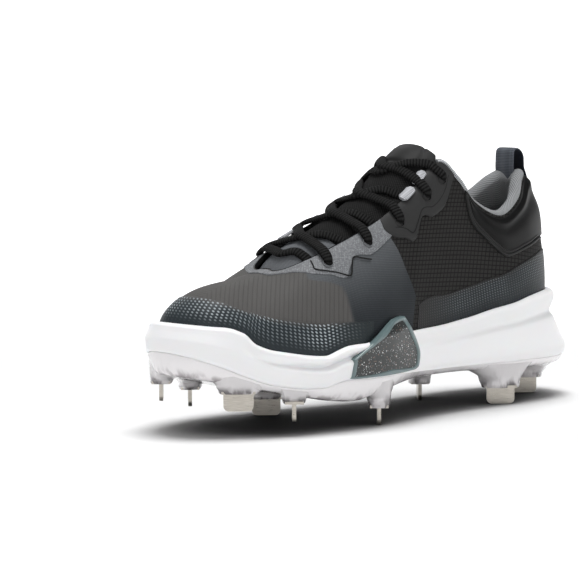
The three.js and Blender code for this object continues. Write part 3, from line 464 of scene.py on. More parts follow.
@dataclass
class Last:
    """The shoe's inner form: the upper's outer wall and the sole's heights."""

    length: float = 300.0
    ball_width: float = 100.0
    collar_height: float = 129.0
    heel_bed: float = 45.0
    toe_spring: float = 21.5
    spring_start: float = 0.66
    spring_power: float = 1.15
    plate_underside: float = 12.8
    heel_lift: float = 8.0
    blade_height: float = 11.0
    gap: float = 0.3
    throat_drop: float = 0.1
    origin: tuple[float, float] = (147.401, 1.618)
    rows: Array = field(init=False, repr=False)
    rim_table: Array = field(init=False, repr=False)

    def __post_init__(self) -> None:
        """Works out the station table in millimetres and the rim's height round the shoe."""
        half = self.ball_width / 2
        rows = []
        for k in range(TURN):
            outer = k <= TOE
            row = STATIONS[k if outer else TURN - k]
            side = 1 if outer else -1
            x, y = (row.out_x, row.out_y) if outer else (row.in_x, row.in_y)
            foot = [x * self.length, side * y * half]
            edge = [row.edge_x * self.length, side * row.edge_y * half, row.edge_z * self.collar_height]
            rows.append(foot + edge + [row.rise, row.lean, row.reach, row.drop])
        self.rows = np.array(rows)
        stations = np.linspace(0, TURN, 721)
        top = self.rim_top(self.between(stations)[:, 0], stations)
        self.rim_table = np.stack([stations, self.wall_at(stations, top)])

    def place(self, p: Array) -> Array:
        """Millimetres in the maker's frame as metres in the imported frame."""
        return (np.asarray(p, float) - np.array([*self.origin, 0.0])) * MM

    def column(self, rows: Sequence[NamedTuple], name: str, x: Array) -> Array:
        """A table column read at places x along the shoe, in mm."""
        return fair([r.at for r in rows], [getattr(r, name) for r in rows], np.asarray(x) / self.length)

    def spring(self, x: Array) -> Array:
        """The toe's lift at x."""
        start = self.spring_start * self.length
        share = np.maximum(0, (np.asarray(x, float) - start) / (self.length - start))
        return self.toe_spring * share**self.spring_power

    def bed(self, x: Array) -> Array:
        """Height of the footbed at x."""
        return self.heel_bed * self.column(SOLE, "bed", x) + self.spring(x)

    def side_foot(self, x: Array) -> Array:
        """Height of the white side's foot at x."""
        return self.heel_bed * self.column(SOLE, "low", x) + self.spring(x)

    def underside(self, x: Array) -> Array:
        """Height of the plate's underside at x."""
        return self.plate_underside + self.heel_lift * self.column(SOLE, "lift", x) + self.spring(x)

    def rim_top(self, x: Array, s: Array) -> Array:
        """Height of the white rim at x, which differs between the outer and inner side."""
        outer = np.mod(s, TURN) <= TOE
        share = np.where(outer, self.column(SOLE, "out_top", x), self.column(SOLE, "in_top", x))
        return self.heel_bed * share + self.spring(x)

    def between(self, s: Array) -> Array:
        """The station table read smoothly at stations s."""
        s = np.asarray(s, float)
        k = np.floor(s).astype(int)
        t = (s - k)[..., None]
        return spline([self.rows[(k + i) % TURN] for i in (-1, 0, 1, 2)], t)

    def outward(self, s: Array) -> Array:
        """Level direction out of the feather line at stations s."""
        d = self.between(np.asarray(s) + 0.05) - self.between(np.asarray(s) - 0.05)
        return unit(np.stack([-d[..., 1], d[..., 0], np.zeros(d.shape[:-1])], axis=-1))

    def wall(self, s: Array, h: Array) -> Array:
        """Points of the upper's outer face.

        Args:
            s: stations.
            h: heights from 0 at the feather line to 1 at the edge.

        Returns:
            Points in millimetres.
        """
        s, h = np.broadcast_arrays(np.asarray(s, float), np.asarray(h, float))
        u = from_heel(s)
        open_throat = self.throat_drop * smoothstep(6.9, 8.2, u) * (1 - 0.7 * smoothstep(12, 14.5, u))
        h = h - open_throat * np.clip((h - 0.7) / 0.3, 0, 1) ** 2
        row = self.between(s)
        out = self.outward(s)
        foot = np.stack([row[..., 0], row[..., 1], self.bed(row[..., 0]) + self.gap], axis=-1)
        edge = row[..., 2:5]
        height = edge[..., 2] - foot[..., 2]
        low = foot + out * row[..., 6, None]
        low[..., 2] += row[..., 5] * height
        reach = row[..., 7, None]
        high = edge * (1 - reach) + foot * reach + out
        high[..., 2] = edge[..., 2] - row[..., 8] * height
        t = h[..., None]
        return (
            (1 - t) ** 3 * foot + 3 * (1 - t) ** 2 * t * low + 3 * (1 - t) * t**2 * high + t**3 * edge
        )

    def normal(self, s: Array, h: Array) -> Array:
        """Outward directions of the wall."""
        e = 0.02
        h = np.asarray(h, float)
        along = self.wall(s + e, h) - self.wall(s - e, h)
        up = self.wall(s, np.minimum(1, h + e)) - self.wall(s, np.maximum(0, h - e))
        return -unit(np.cross(along, up))

    def off(self, s: Array, h: Array, out: Array) -> Array:
        """Points that stand out from the wall by a distance."""
        s, h, out = np.broadcast_arrays(*(np.asarray(a, float) for a in (s, h, out)))
        return self.wall(s, h) + self.normal(s, h) * out[..., None]

    def wall_at(self, s: Array, z: Array) -> Array:
        """Heights h at which the wall passes level z at stations s."""
        low, high = np.zeros_like(z), np.full_like(z, 0.6)
        for _ in range(24):
            mid = (low + high) / 2
            under = self.wall(s, mid)[..., 2] < z
            low, high = np.where(under, mid, low), np.where(under, high, mid)
        return low

    def rim_level(self, s: Array) -> Array:
        """Height h of the white rim at stations s."""
        return np.interp(np.mod(s, TURN), *self.rim_table)


# Meshes


def linked(name: str, data: bpy.types.ID) -> Piece:
    """A new object of the scene that shows some data."""
    made = bpy.data.objects.new(name, data)
    bpy.context.scene.collection.objects.link(made)
    return made


class Maker:
    """Turns grids of points in millimetres into pieces of the shoe."""

    def __init__(self, last: Last) -> None:
        """Keeps the last whose frame the points are in."""
        self.last = last

    def piece(
        self,
        name: str,
        points: Array,
        faces: list[tuple[int, ...]],
        corner_uv: Optional[dict[str, Array]] = None,
        sharp: float = 40.0,
    ) -> Piece:
        """Makes one closed mesh that rides on the shoe.

        Args:
            name: the piece's name.
            points: its vertices, in a list or a grid.
            faces: vertex numbers of each face.
            corner_uv: map name to one pair for each face corner, in face order.
            sharp: the angle in degrees above which an edge stays crisp.

        Returns:
            The linked object.
        """
        mesh = bpy.data.meshes.new(name)
        mesh.from_pydata(self.last.place(points).reshape(-1, 3).tolist(), [], faces)
        for key, uv in (corner_uv or {}).items():
            mesh.uv_layers.new(name=key).data.foreach_set("uv", np.asarray(uv, np.float32).ravel())
        work = bmesh.new()
        work.from_mesh(mesh)
        bmesh.ops.recalc_face_normals(work, faces=work.faces)
        work.to_mesh(mesh)
        work.free()
        mesh.polygons.foreach_set("use_smooth", [True] * len(mesh.polygons))
        mesh.set_sharp_from_angle(angle=math.radians(sharp))
        made = linked(name, mesh)
        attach(made, ROOT)
        return made

    def tube_faces(self, rows: int, cols: int, closed: bool = False) -> list[tuple[int, ...]]:
        """Faces between rings of points.

        Args:
            rows: number of rings.
            cols: points in each ring, which closes on itself.
            closed: whether the last ring joins the first.

        Returns:
            Four vertex numbers for each face.
        """
        faces = []
        for r in range(rows if closed else rows - 1):
            a, b = r * cols, ((r + 1) % rows) * cols
            faces += [(a + i, a + (i + 1) % cols, b + (i + 1) % cols, b + i) for i in range(cols)]
        return faces

    def capped(
        self, name: str, rings: Sequence[Array], corners: Optional[dict[str, Array]] = None
    ) -> Piece:
        """A solid of rings with one face over each end.

        Args:
            name: the piece's name.
            rings: its rings, each closed on itself.
            corners: map name to one pair for each face corner, those of the two ends last.

        Returns:
            The piece.
        """
        grid = np.array(rings)
        rows, cols = grid.shape[:2]
        ends = [tuple(range(base, base + cols)) for base in (0, (rows - 1) * cols)]
        return self.piece(name, grid, self.tube_faces(rows, cols) + ends, corners)

    def dress_inside(self, piece: Piece, ring: int, cols: int, finish: "Finish") -> None:
        """Gives a capped solid one more finish from one of its rings to its last end.

        Args:
            piece: the solid.
            ring: the first ring of the part.
            cols: points in each ring.
            finish: the part's finish.
        """
        part = np.arange(len(piece.data.polygons)) >= ring * cols
        part[-2] = False
        dress_parts(piece, part, finish)

    def grid_corners(self, uv: Array, rows: int, cols: int) -> Array:
        """Face corner pairs for tube_faces, from a grid with one extra column and row.

        Args:
            uv: pairs, rows + 1 by cols + 1.
            rows: rows of faces.
            cols: faces in each row.

        Returns:
            Pairs in face corner order.
        """
        a = uv[:rows, :cols]
        b = uv[:rows, 1 : cols + 1]
        c = uv[1 : rows + 1, 1 : cols + 1]
        d = uv[1 : rows + 1, :cols]
        return np.stack([a, b, c, d], axis=2).reshape(-1, 2)

    def sheet(
        self, name: str, outer: Array, inner: Array, uv: dict[str, Array], sharp: float = 40.0
    ) -> Piece:
        """A closed sheet between two grids of the same size.

        Args:
            name: the piece's name.
            outer: the face that shows, rows by columns.
            inner: the face behind it.
            uv: map name to pairs for the grid's points.
            sharp: the angle above which an edge stays crisp.

        Returns:
            The piece.
        """
        rows, cols = outer.shape[:2]
        ring = np.concatenate([outer, inner[:, ::-1]], axis=1)
        faces = self.tube_faces(rows, 2 * cols)
        last = (rows - 1) * 2 * cols
        for base in (0, last):
            back = base + 2 * cols - 1
            faces += [(base + i, base + i + 1, back - i - 1, back - i) for i in range(cols - 1)]
        fold = np.stack([np.arange(cols - 1) + k for k in (0, 1, 1, 0)], axis=1).ravel()
        corners = {}
        for key, grid in uv.items():
            wide = np.concatenate([grid, grid[:, ::-1], grid[:, :1]], axis=1)
            ends = [grid[0, fold], grid[-1, fold]]
            corners[key] = np.concatenate([self.grid_corners(wide, rows - 1, 2 * cols), *ends])
        return self.piece(name, ring, faces, corners, sharp)

    def tube(
        self,
        name: str,
        line: Array,
        ups: Array,
        wide: Array,
        thick: Array,
        sides: int = 16,
        square: float = 1.0,
    ) -> Piece:
        """A cord or band of oval section along a line, with ends closed.

        Args:
            name: the piece's name.
            line: points of its middle.
            ups: direction of its thin side at each point.
            wide: half width, one number or one for each point.
            thick: half thickness in the same way.
            sides: points round the section.
            square: 1 for an oval, smaller for a flatter section.

        Returns:
            The piece.
        """
        along = unit(np.gradient(line, axis=0))
        across = unit(np.cross(along, ups))
        up = np.cross(across, along)
        c, s = oval(sides, square).T[:, None, :, None]
        wide = np.broadcast_to(wide, (len(line),))[:, None, None]
        thick = np.broadcast_to(thick, (len(line),))[:, None, None]
        rings = line[:, None] + across[:, None] * c * wide + up[:, None] * s * thick
        v = np.linspace(0, 2 * float(np.max(wide) + np.max(thick)), sides + 1)
        corners = self.grid_corners(pairs(travel(line)[:, None], v), len(line) - 1, sides)
        corners = np.concatenate([corners, np.zeros((2 * sides, 2))])
        return self.capped(name, rings, {"cloth": corners})

    def rings(
        self, name: str, rings: Array, uv: Optional[dict[str, Array]] = None, closed: bool = False
    ) -> Piece:
        """A solid of rings, closed at both ends by rungs from side to side.

        Args:
            name: the piece's name.
            rings: rings by points, the first point of each at the heel.
            uv: map name to pairs, rings by points plus one.
            closed: whether the section itself is closed, so no ends are needed.

        Returns:
            The piece.
        """
        rows, cols = rings.shape[:2]
        faces = self.tube_faces(rows, cols, closed)
        corners = {}
        for key, grid in (uv or {}).items():
            tall = np.concatenate([grid, grid[:1]]) if closed else grid
            corners[key] = self.grid_corners(tall, rows if closed else rows - 1, cols)
        rungs = []
        for base in () if closed else (0, (rows - 1) * cols):
            for i in range(cols // 2):
                four = (i, i + 1, (cols - i - 1) % cols, (cols - i) % cols)
                rungs.append(tuple(base + k for k in dict.fromkeys(four)))
        faces += rungs
        for key in corners:
            corners[key] = np.concatenate([corners[key], np.zeros((sum(map(len, rungs)), 2))])
        return self.piece(name, rings, faces, corners)


def dress(piece: Piece, finish: "Finish", slot: str, *nodes: str) -> Piece:
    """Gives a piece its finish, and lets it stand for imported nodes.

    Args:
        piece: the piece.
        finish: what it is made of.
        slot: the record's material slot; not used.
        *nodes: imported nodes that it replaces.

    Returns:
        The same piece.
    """
    piece.data.materials.clear()
    piece.data.materials.append(finish.material())
    if nodes:
        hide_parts(*nodes)
    LOG.info("%s: %d faces, %s", piece.name, len(piece.data.polygons), type(finish).__name__)
    return piece


def dress_parts(piece: Piece, index: Array, *finishes: "Finish") -> None:
    """Gives some faces of a dressed piece further finishes.

    Args:
        piece: the piece.
        index: for each face 0 for its first finish, or the number of a further one.
        *finishes: the further finishes, counted from 1.
    """
    for finish in finishes:
        piece.data.materials.append(finish.material())
    piece.data.polygons.foreach_set("material_index", np.asarray(index, int).ravel().tolist())


# Finishes


class Tree:
    """A short way to write a material's nodes."""

    def __init__(self, name: str) -> None:
        """Starts a material with one Principled shader."""
        self.material = bpy.data.materials.new(name)
        self.material.use_nodes = True
        self.nodes = self.material.node_tree.nodes
        self.links = self.material.node_tree.links
        self.shader = self.nodes["Principled BSDF"]

    def put(self, socket: Socket, value: Value) -> None:
        """Sets a socket to a number or colour, or links another socket to it."""
        if isinstance(value, Socket):
            self.links.new(value, socket)
        else:
            socket.default_value = value

    def math(self, operation: str, *values: Value) -> Socket:
        """One arithmetic step.

        Args:
            operation: Blender's name of it.
            *values: its inputs.

        Returns:
            The result's socket.
        """
        node = self.nodes.new("ShaderNodeMath")
        node.operation = operation
        for socket, value in zip(node.inputs, values):
            self.put(socket, value)
        return node.outputs[0]

    def times(self, *values: Value) -> Value:
        """The product of two values or more."""
        product = values[0]
        for value in values[1:]:
            product = self.math("MULTIPLY", product, value)
        return product

    def mix(self, share: Value, a: Value, b: Value) -> Socket:
        """A colour between a and b."""
        node = self.nodes.new("ShaderNodeMix")
        node.data_type = "RGBA"
        for socket, value in zip((node.inputs[0], node.inputs[6], node.inputs[7]), (share, a, b)):
            self.put(socket, value)
        return node.outputs[2]

    def blend(self, share: Value, a: Value, b: Value) -> Socket:
        """A number between a and b."""
        return self.math("MULTIPLY_ADD", share, self.math("SUBTRACT", b, a), a)

    def step(self, low: float, high: float, x: Value) -> Socket:
        """A soft step from 0 at low to 1 at high."""
        node = self.nodes.new("ShaderNodeMapRange")
        node.interpolation_type = "SMOOTHSTEP"
        for socket, value in zip(node.inputs, (x, low, high, 0.0, 1.0)):
            self.put(socket, value)
        return node.outputs[0]

    def uv(self, name: str) -> tuple[Socket, Socket]:
        """The two coordinates of one of a piece's maps."""
        node = self.nodes.new("ShaderNodeUVMap")
        node.uv_map = name
        split = self.nodes.new("ShaderNodeSeparateXYZ")
        self.links.new(node.outputs[0], split.inputs[0])
        return split.outputs[0], split.outputs[1]

    def place(self) -> list[Socket]:
        """The point's place on the shoe, in millimetres."""
        node = self.nodes.new("ShaderNodeTexCoord")
        split = self.nodes.new("ShaderNodeSeparateXYZ")
        self.links.new(node.outputs["Object"], split.inputs[0])
        return [self.times(out, 1 / MM) for out in split.outputs]

    def noise(
        self, scale: float, detail: float = 2.0, stretch: Optional[Sequence[float]] = None
    ) -> Socket:
        """Even noise.

        Args:
            scale: how fine it is, per metre.
            detail: layers of finer noise in it.
            stretch: scale of each axis, if it differs.

        Returns:
            The noise from 0 to 1.
        """
        coord = self.nodes.new("ShaderNodeTexCoord").outputs["Object"]
        if stretch is not None:
            mapping = self.nodes.new("ShaderNodeMapping")
            mapping.inputs["Scale"].default_value = stretch
            self.links.new(coord, mapping.inputs["Vector"])
            coord = mapping.outputs[0]
        node = self.nodes.new("ShaderNodeTexNoise")
        node.inputs["Scale"].default_value = scale
        node.inputs["Detail"].default_value = detail
        self.links.new(coord, node.inputs["Vector"])
        return node.outputs["Fac"]

    def wave(self, x: Value, pitch: float) -> Socket:
        """A wave from 0 to 1 that repeats each pitch."""
        turn = self.times(x, 2 * math.pi / pitch)
        return self.math("MULTIPLY_ADD", self.math("SINE", turn), 0.5, 0.5)

    def curve(self, rows: Sequence[tuple[float, float]], x: Value) -> Socket:
        """A line through table rows, both columns from 0 to 1."""
        node = self.nodes.new("ShaderNodeFloatCurve")
        points = node.mapping.curves[0].points
        while len(points) < len(rows):
            points.new(0.5, 0.5)
        for point, row in zip(points, sorted(rows)):
            point.location = row
            point.handle_type = "VECTOR"
        node.mapping.update()
        self.put(node.inputs["Value"], x)
        return node.outputs[0]

    def bump(self, height: Value, depth: float, strength: float = 1.0) -> None:
        """Adds relief to the shader, on top of any there is.

        Args:
            height: from 0 to 1.
            depth: what 1 stands for, in millimetres.
            strength: share of it that is shown.
        """
        node = self.nodes.new("ShaderNodeBump")
        node.inputs["Strength"].default_value = strength
        node.inputs["Distance"].default_value = depth * MM
        self.put(node.inputs["Height"], height)
        before = self.shader.inputs["Normal"].links
        if before:
            self.links.new(before[0].from_socket, node.inputs["Normal"])
        self.links.new(node.outputs[0], self.shader.inputs["Normal"])

    def set(self, **values: Value) -> None:
        """Sets the shader's own sockets, with spaces written as underscores."""
        for key, value in values.items():
            self.put(self.shader.inputs[key.replace("_", " ")], value)


def grey(value: float, warm: float = 0.0) -> Colour:
    """A grey, tinted warm or, below zero, cool."""
    return (value * (1 + warm), value, value * (1 - warm), 1.0)


class Finish:
    """What a surface is made of. Each kind writes its own nodes, and each colour is made once."""

    made: dict[object, bpy.types.Material] = {}

    def material(self) -> bpy.types.Material:
        """The material, made at first use."""
        if self not in Finish.made:
            tree = Tree(type(self).__name__)
            self.write(tree)
            Finish.made[self] = tree.material
        return Finish.made[self]

    def write(self, tree: Tree) -> None:
        """Writes the nodes into a tree."""
        raise NotImplementedError


@dataclass(frozen=True)
class SideCloth(Finish):
    """The upper's cloth: black ripstop at the quarter, a blue-grey film panel, a ribbed vamp."""

    quarter: Colour = grey(0.003, 0.03)
    quarter_line: Colour = grey(0.027, 0.03)
    panel: Colour = (0.022, 0.0255, 0.029, 1.0)
    panel_pale: Colour = (0.078, 0.083, 0.089, 1.0)
    panel_line: Colour = (0.05, 0.056, 0.062, 1.0)
    panel_top: Colour = (0.19, 0.2, 0.21, 1.0)
    vamp: Colour = grey(0.04, 0.035)
    vamp_line: Colour = grey(0.1, 0.03)
    warp: float = 3.5
    weft: float = 2.5
    rib: float = 3.4

    def write(self, tree: Tree) -> None:
        """Writes the three cloths and the borders between them."""
        station, height = tree.uv("zone")
        along, up = tree.uv("cloth")
        scaled = tree.math("DIVIDE", station, float(TOE))
        quarter_front = tree.curve([(h, s / TOE) for h, s in QUARTER_FRONT], height)
        vamp_back = tree.curve([(h, s / TOE) for h, s in VAMP_BACK], height)
        in_panel = tree.step(-0.001, 0.001, tree.math("SUBTRACT", scaled, quarter_front))
        in_vamp = tree.step(-0.006, 0.004, tree.math("SUBTRACT", scaled, vamp_back))
        lean = tree.math("MULTIPLY_ADD", up, 0.18, along)
        rise = tree.math("MULTIPLY_ADD", along, -0.18, up)
        warp = tree.math("POWER", tree.wave(lean, self.warp), 9.0)
        weft = tree.math("POWER", tree.wave(rise, self.weft), 9.0)
        check = tree.math("MAXIMUM", warp, weft)
        fuzz = tree.noise(2600.0, 3.0)
        square = tree.math("SUBTRACT", 1.0, check)
        quarter = tree.mix(square, self.quarter, self.quarter_line)
        thread = tree.times(tree.wave(lean, 1.0), tree.wave(rise, 1.0))
        higher = tree.step(0.3, 0.75, height)
        dull = tree.mix(higher, self.panel, self.panel_pale)
        lit = tree.mix(higher, self.panel_line, self.panel_top)
        panel = tree.mix(tree.times(thread, fuzz), dull, lit)
        x, y, _ = tree.place()
        down = tree.math("SUBTRACT", x, tree.math("ABSOLUTE", y))
        rib = tree.math("POWER", tree.wave(down, self.rib), 8.0)
        fine = tree.wave(down, self.rib / 4)
        weave = tree.times(tree.blend(fine, 0.7, 1.0), tree.blend(fuzz, 0.7, 1.2))
        vamp = tree.mix(tree.times(weave, tree.blend(rib, 1.0, 0.62)), self.vamp, self.vamp_line)
        side = tree.mix(in_panel, quarter, panel)
        tree.set(Base_Color=tree.mix(in_vamp, side, vamp))
        relief = tree.blend(in_panel, square, tree.times(thread, 0.6))
        relief = tree.blend(in_vamp, relief, tree.math("SUBTRACT", 1.0, tree.times(rib, 0.8)))
        tree.bump(relief, 0.14, 0.8)
        tree.bump(fuzz, 0.05, 0.5)
        rough = tree.blend(in_panel, 0.62, 0.5)
        tree.set(Roughness=tree.blend(in_vamp, rough, 0.6), Specular_IOR_Level=0.08)


@dataclass(frozen=True)
class PrintedFilm(Finish):
    """Film over the foot's edge, with slanted raised dashes that fade out."""

    base: Colour = (0.016, 0.022, 0.026, 1.0)
    high: Colour = (0.03, 0.038, 0.043, 1.0)
    dash: Colour = (0.42, 0.47, 0.5, 1.0)
    edge: Colour = grey(0.06, 0.03)
    beyond: Colour = (0.02, 0.027, 0.03, 1.0)
    fade: tuple[float, float] = (9.5, 10.8)
    bare_toe: tuple[float, float] = (15.6, 14.0)
    pitch: float = 2.7
    rows: float = 1.8
    slant: float = 0.9
    strength: float = 1.0

    def write(self, tree: Tree) -> None:
        """Writes the film and its dashes."""
        along, up = tree.uv("cloth")
        station, share = tree.uv("zone")
        lean = tree.math("MULTIPLY_ADD", up, -self.slant, along)
        row = tree.math("FLOOR", tree.math("DIVIDE", up, self.rows))
        odd = tree.times(tree.math("MODULO", row, 2.0), self.pitch / 2)
        across = tree.wave(tree.math("ADD", lean, odd), self.pitch)
        down = tree.wave(tree.math("SUBTRACT", up, self.rows / 4), self.rows)
        dash = tree.step(0.42, 0.76, tree.times(across, tree.math("POWER", down, 0.5)))
        fade = tree.times(tree.step(0.12, 0.55, share), tree.step(1.0, 0.93, share))
        patchy = tree.step(0.3, 0.62, tree.noise(45.0, 1.0))
        near = tree.step(*self.fade, station)
        ends = tree.times(near, tree.step(*self.bare_toe, station), self.strength)
        shown = tree.times(dash, fade, tree.blend(patchy, 0.35, 1.0), ends)
        ground = tree.mix(tree.noise(30.0, 2.0), self.base, self.high)
        ground = tree.mix(tree.step(0.78, 1.0, share), ground, self.edge)
        ground = tree.mix(near, self.beyond, ground)
        tree.set(Base_Color=tree.mix(shown, ground, self.dash), Roughness=tree.blend(shown, 0.46, 0.3))
        tree.bump(dash, 0.15, 0.7)
        tree.bump(tree.noise(3200.0, 2.0), 0.03, 0.4)
        tree.set(Specular_IOR_Level=0.2)


@dataclass(frozen=True)
class SmoothSkin(Finish):
    """Smooth synthetic skin with a fine grain."""

    colour: Colour = grey(0.0035)
    worn: Colour = grey(0.007)
    rough: float = 0.42
    grain: float = 1500.0

    def write(self, tree: Tree) -> None:
        """Writes the grain and its slight wear."""
        patch = tree.noise(60.0, 4.0)
        tree.set(Base_Color=tree.mix(patch, self.colour, self.worn))
        rough = tree.blend(patch, self.rough - 0.06, self.rough + 0.1)
        tree.set(Roughness=rough, Specular_IOR_Level=0.11)
        tree.bump(tree.noise(self.grain, 4.0), 0.05, 0.5)
        tree.bump(tree.noise(90.0, 2.0), 0.15, 0.25)


@dataclass(frozen=True)
class CanvasFilm(Finish):
    """Film pressed on canvas, so that the weave shows through as fine broken lines."""

    colour: Colour = (0.135, 0.14, 0.148, 1.0)
    light: Colour = (0.27, 0.28, 0.292, 1.0)
    pitch: float = 1.3

    def write(self, tree: Tree) -> None:
        """Writes the broken weave lines and their relief."""
        along, up = tree.uv("cloth")
        fuzz = tree.noise(900.0, 3.0)
        thread = tree.math("MAXIMUM", tree.wave(along, self.pitch), tree.wave(up, self.pitch * 0.8))
        shown = tree.times(tree.math("POWER", thread, 2.0), tree.step(0.35, 0.7, fuzz))
        tree.set(Base_Color=tree.mix(shown, self.colour, self.light), Roughness=0.5, Specular_IOR_Level=0.16)
        tree.bump(tree.times(thread, fuzz), 0.1, 0.7)


@dataclass(frozen=True)
class Knit(Finish):
    """A knitted or woven cloth of small cells."""

    colour: Colour = grey(0.24, -0.04)
    deep: Colour = grey(0.05, -0.04)
    pitch: float = 1.5
    depth: float = 0.25

    def write(self, tree: Tree) -> None:
        """Writes the cells, which lie in diagonal rows."""
        across, up = tree.uv("cloth")
        rows = (tree.math(operation, across, up) for operation in ("ADD", "SUBTRACT"))
        cell = tree.math("POWER", tree.times(*(tree.wave(row, self.pitch) for row in rows)), 0.6)
        fuzz = tree.noise(2400.0, 3.0)
        shade = tree.times(cell, tree.blend(fuzz, 0.6, 1.1))
        tree.set(Base_Color=tree.mix(shade, self.deep, self.colour), Roughness=0.85, Specular_IOR_Level=0.06)
        tree.bump(cell, self.depth, 0.8)
        tree.bump(fuzz, 0.1, 0.5)


@dataclass(frozen=True)
class Foam(Finish):
    """Moulded white foam with a faint skin."""

    colour: Colour = (0.89, 0.89, 0.9, 1.0)
    scuffed: Colour = (0.87, 0.865, 0.875, 1.0)

    def write(self, tree: Tree) -> None:
        """Writes the skin and its faint scuffs."""
        scuff = tree.step(0.62, 0.8, tree.noise(55.0, 5.0))
        tree.set(Base_Color=tree.mix(tree.times(scuff, 0.4), self.colour, self.scuffed))
        tree.set(Roughness=tree.blend(scuff, 0.42, 0.55), Subsurface_Weight=0.08, Subsurface_Scale=0.004)
        tree.bump(tree.noise(1800.0, 3.0), 0.03, 0.4)
        tree.bump(tree.noise(35.0, 2.0), 0.2, 0.15)


@dataclass(frozen=True)
class ClearPlastic(Finish):
    """Hard see-through plastic, slightly clouded, with painted shade and painted dark reflection streaks
    towards its low edge.
    """

    colour: Colour = (0.97, 0.955, 0.965, 1.0)
    clouded: Colour = (0.92, 0.89, 0.905, 1.0)
    clear: float = 0.12
    rough: float = 0.12
    low: Optional[Colour] = None
    flow: float = 1.6

    def write(self, tree: Tree) -> None:
        """Writes the clouding, the flow marks of the moulding and, if a low colour is given, the painted
        shade and painted dark reflections towards the low edge.
        """
        cloud = tree.noise(40.0, 3.0)
        flow = tree.noise(28.0, 2.0, (1.0, 1.0, 2.5))
        streak = tree.noise(150.0, 3.0, (1.0, 1.0, 0.45))
        colour = tree.mix(cloud, self.colour, self.clouded)
        # The low colour is painted shade and painted reflection of the dark ground, in ragged streaks towards
        # the low edge.
        if self.low is not None:
            _, share = tree.uv("zone")
            ragged_painted_shade = tree.math("MULTIPLY_ADD", streak, 0.5, tree.math("SUBTRACT", share, 0.25))
            down = tree.step(0.5, 0.0, ragged_painted_shade)
            colour = tree.mix(down, colour, tree.mix(tree.step(0.42, 0.6, streak), self.low, self.clouded))
            tree.bump(streak, 1.2, 0.5)
        tree.set(Base_Color=colour, Roughness=tree.blend(cloud, self.rough, self.rough + 0.14))
        tree.bump(flow, self.flow, 0.6)
        tree.set(Transmission_Weight=self.clear, IOR=1.5, Coat_Weight=0.6, Coat_Roughness=0.08)


@dataclass(frozen=True)
class SpeckledFace(Finish):
    """Dark moulded face with white and brown specks."""

    colour: Colour = (0.014, 0.018, 0.018, 1.0)

    def write(self, tree: Tree) -> None:
        """Writes the specks in three sizes."""
        coord = tree.nodes.new("ShaderNodeTexCoord").outputs["Object"]
        colour: Value = self.colour
        specks = (
            (900.0, 0.2, (0.5, 0.52, 0.52, 1.0)),
            (620.0, 0.22, (0.2, 0.13, 0.1, 1.0)),
            (420.0, 0.15, (0.75, 0.76, 0.76, 1.0)),
        )
        for scale, size, tint in specks:
            cells = tree.nodes.new("ShaderNodeTexVoronoi")
            cells.inputs["Scale"].default_value = scale
            tree.links.new(coord, cells.inputs["Vector"])
            few = tree.step(0.38, 0.5, tree.noise(scale * 0.6, 0.0))
            spot = tree.step(size + 0.05, size - 0.05, cells.outputs["Distance"])
            colour = tree.mix(tree.times(spot, few), colour, tint)
        tree.set(Base_Color=colour, Roughness=0.35, Coat_Weight=0.3, Coat_Roughness=0.2)
        tree.bump(tree.noise(900.0, 2.0), 0.12, 0.4)


@dataclass(frozen=True)
class Steel(Finish):
    """Blade steel in a warm plated tone."""

    colour: Colour = (0.3, 0.275, 0.24, 1.0)
    scratched: Colour = (0.62, 0.585, 0.53, 1.0)

    def write(self, tree: Tree) -> None:
        """Writes the brushing and light scratches."""
        brush = tree.noise(220.0, 3.0, (1.0, 1.0, 14.0))
        tree.set(Base_Color=tree.mix(brush, self.colour, self.scratched), Metallic=1.0)
        tree.set(Roughness=tree.blend(brush, 0.2, 0.42))
        tree.bump(brush, 0.05, 0.3)


@dataclass(frozen=True)
class RibbedCord(Finish):
    """A flat woven lace with ribs across it."""

    colour: Colour = grey(0.019)
    deep: Colour = grey(0.0012)
    pitch: float = 1.7

    def write(self, tree: Tree) -> None:
        """Writes the ribs."""
        along, around = tree.uv("cloth")
        rib = tree.math("POWER", tree.wave(along, self.pitch), 0.7)
        strand = tree.wave(tree.math("ADD", around, tree.times(along, 0.5)), 1.1)
        cell = tree.times(rib, tree.blend(strand, 0.75, 1.0))
        tree.set(Base_Color=tree.mix(cell, self.deep, self.colour), Roughness=0.72, Specular_IOR_Level=0.06)
        tree.bump(cell, 0.35, 0.8)
        tree.bump(tree.noise(2500.0, 2.0), 0.08, 0.5)


@dataclass(frozen=True)
class Webbing(Finish):
    """Woven tape with fine cross ribs."""

    colour: Colour = (0.05, 0.055, 0.066, 1.0)
    deep: Colour = (0.02, 0.023, 0.03, 1.0)
    pitch: float = 0.9

    def write(self, tree: Tree) -> None:
        """Writes the ribs and the yarn."""
        along, across = tree.uv("cloth")
        rib = tree.wave(along, self.pitch)
        yarn = tree.wave(across, self.pitch * 1.3)
        cell = tree.math("MULTIPLY_ADD", rib, 0.7, tree.times(yarn, 0.3))
        tree.set(Base_Color=tree.mix(cell, self.deep, self.colour), Roughness=0.75, Specular_IOR_Level=0.15)
        tree.bump(cell, 0.15, 0.8)


# Upper


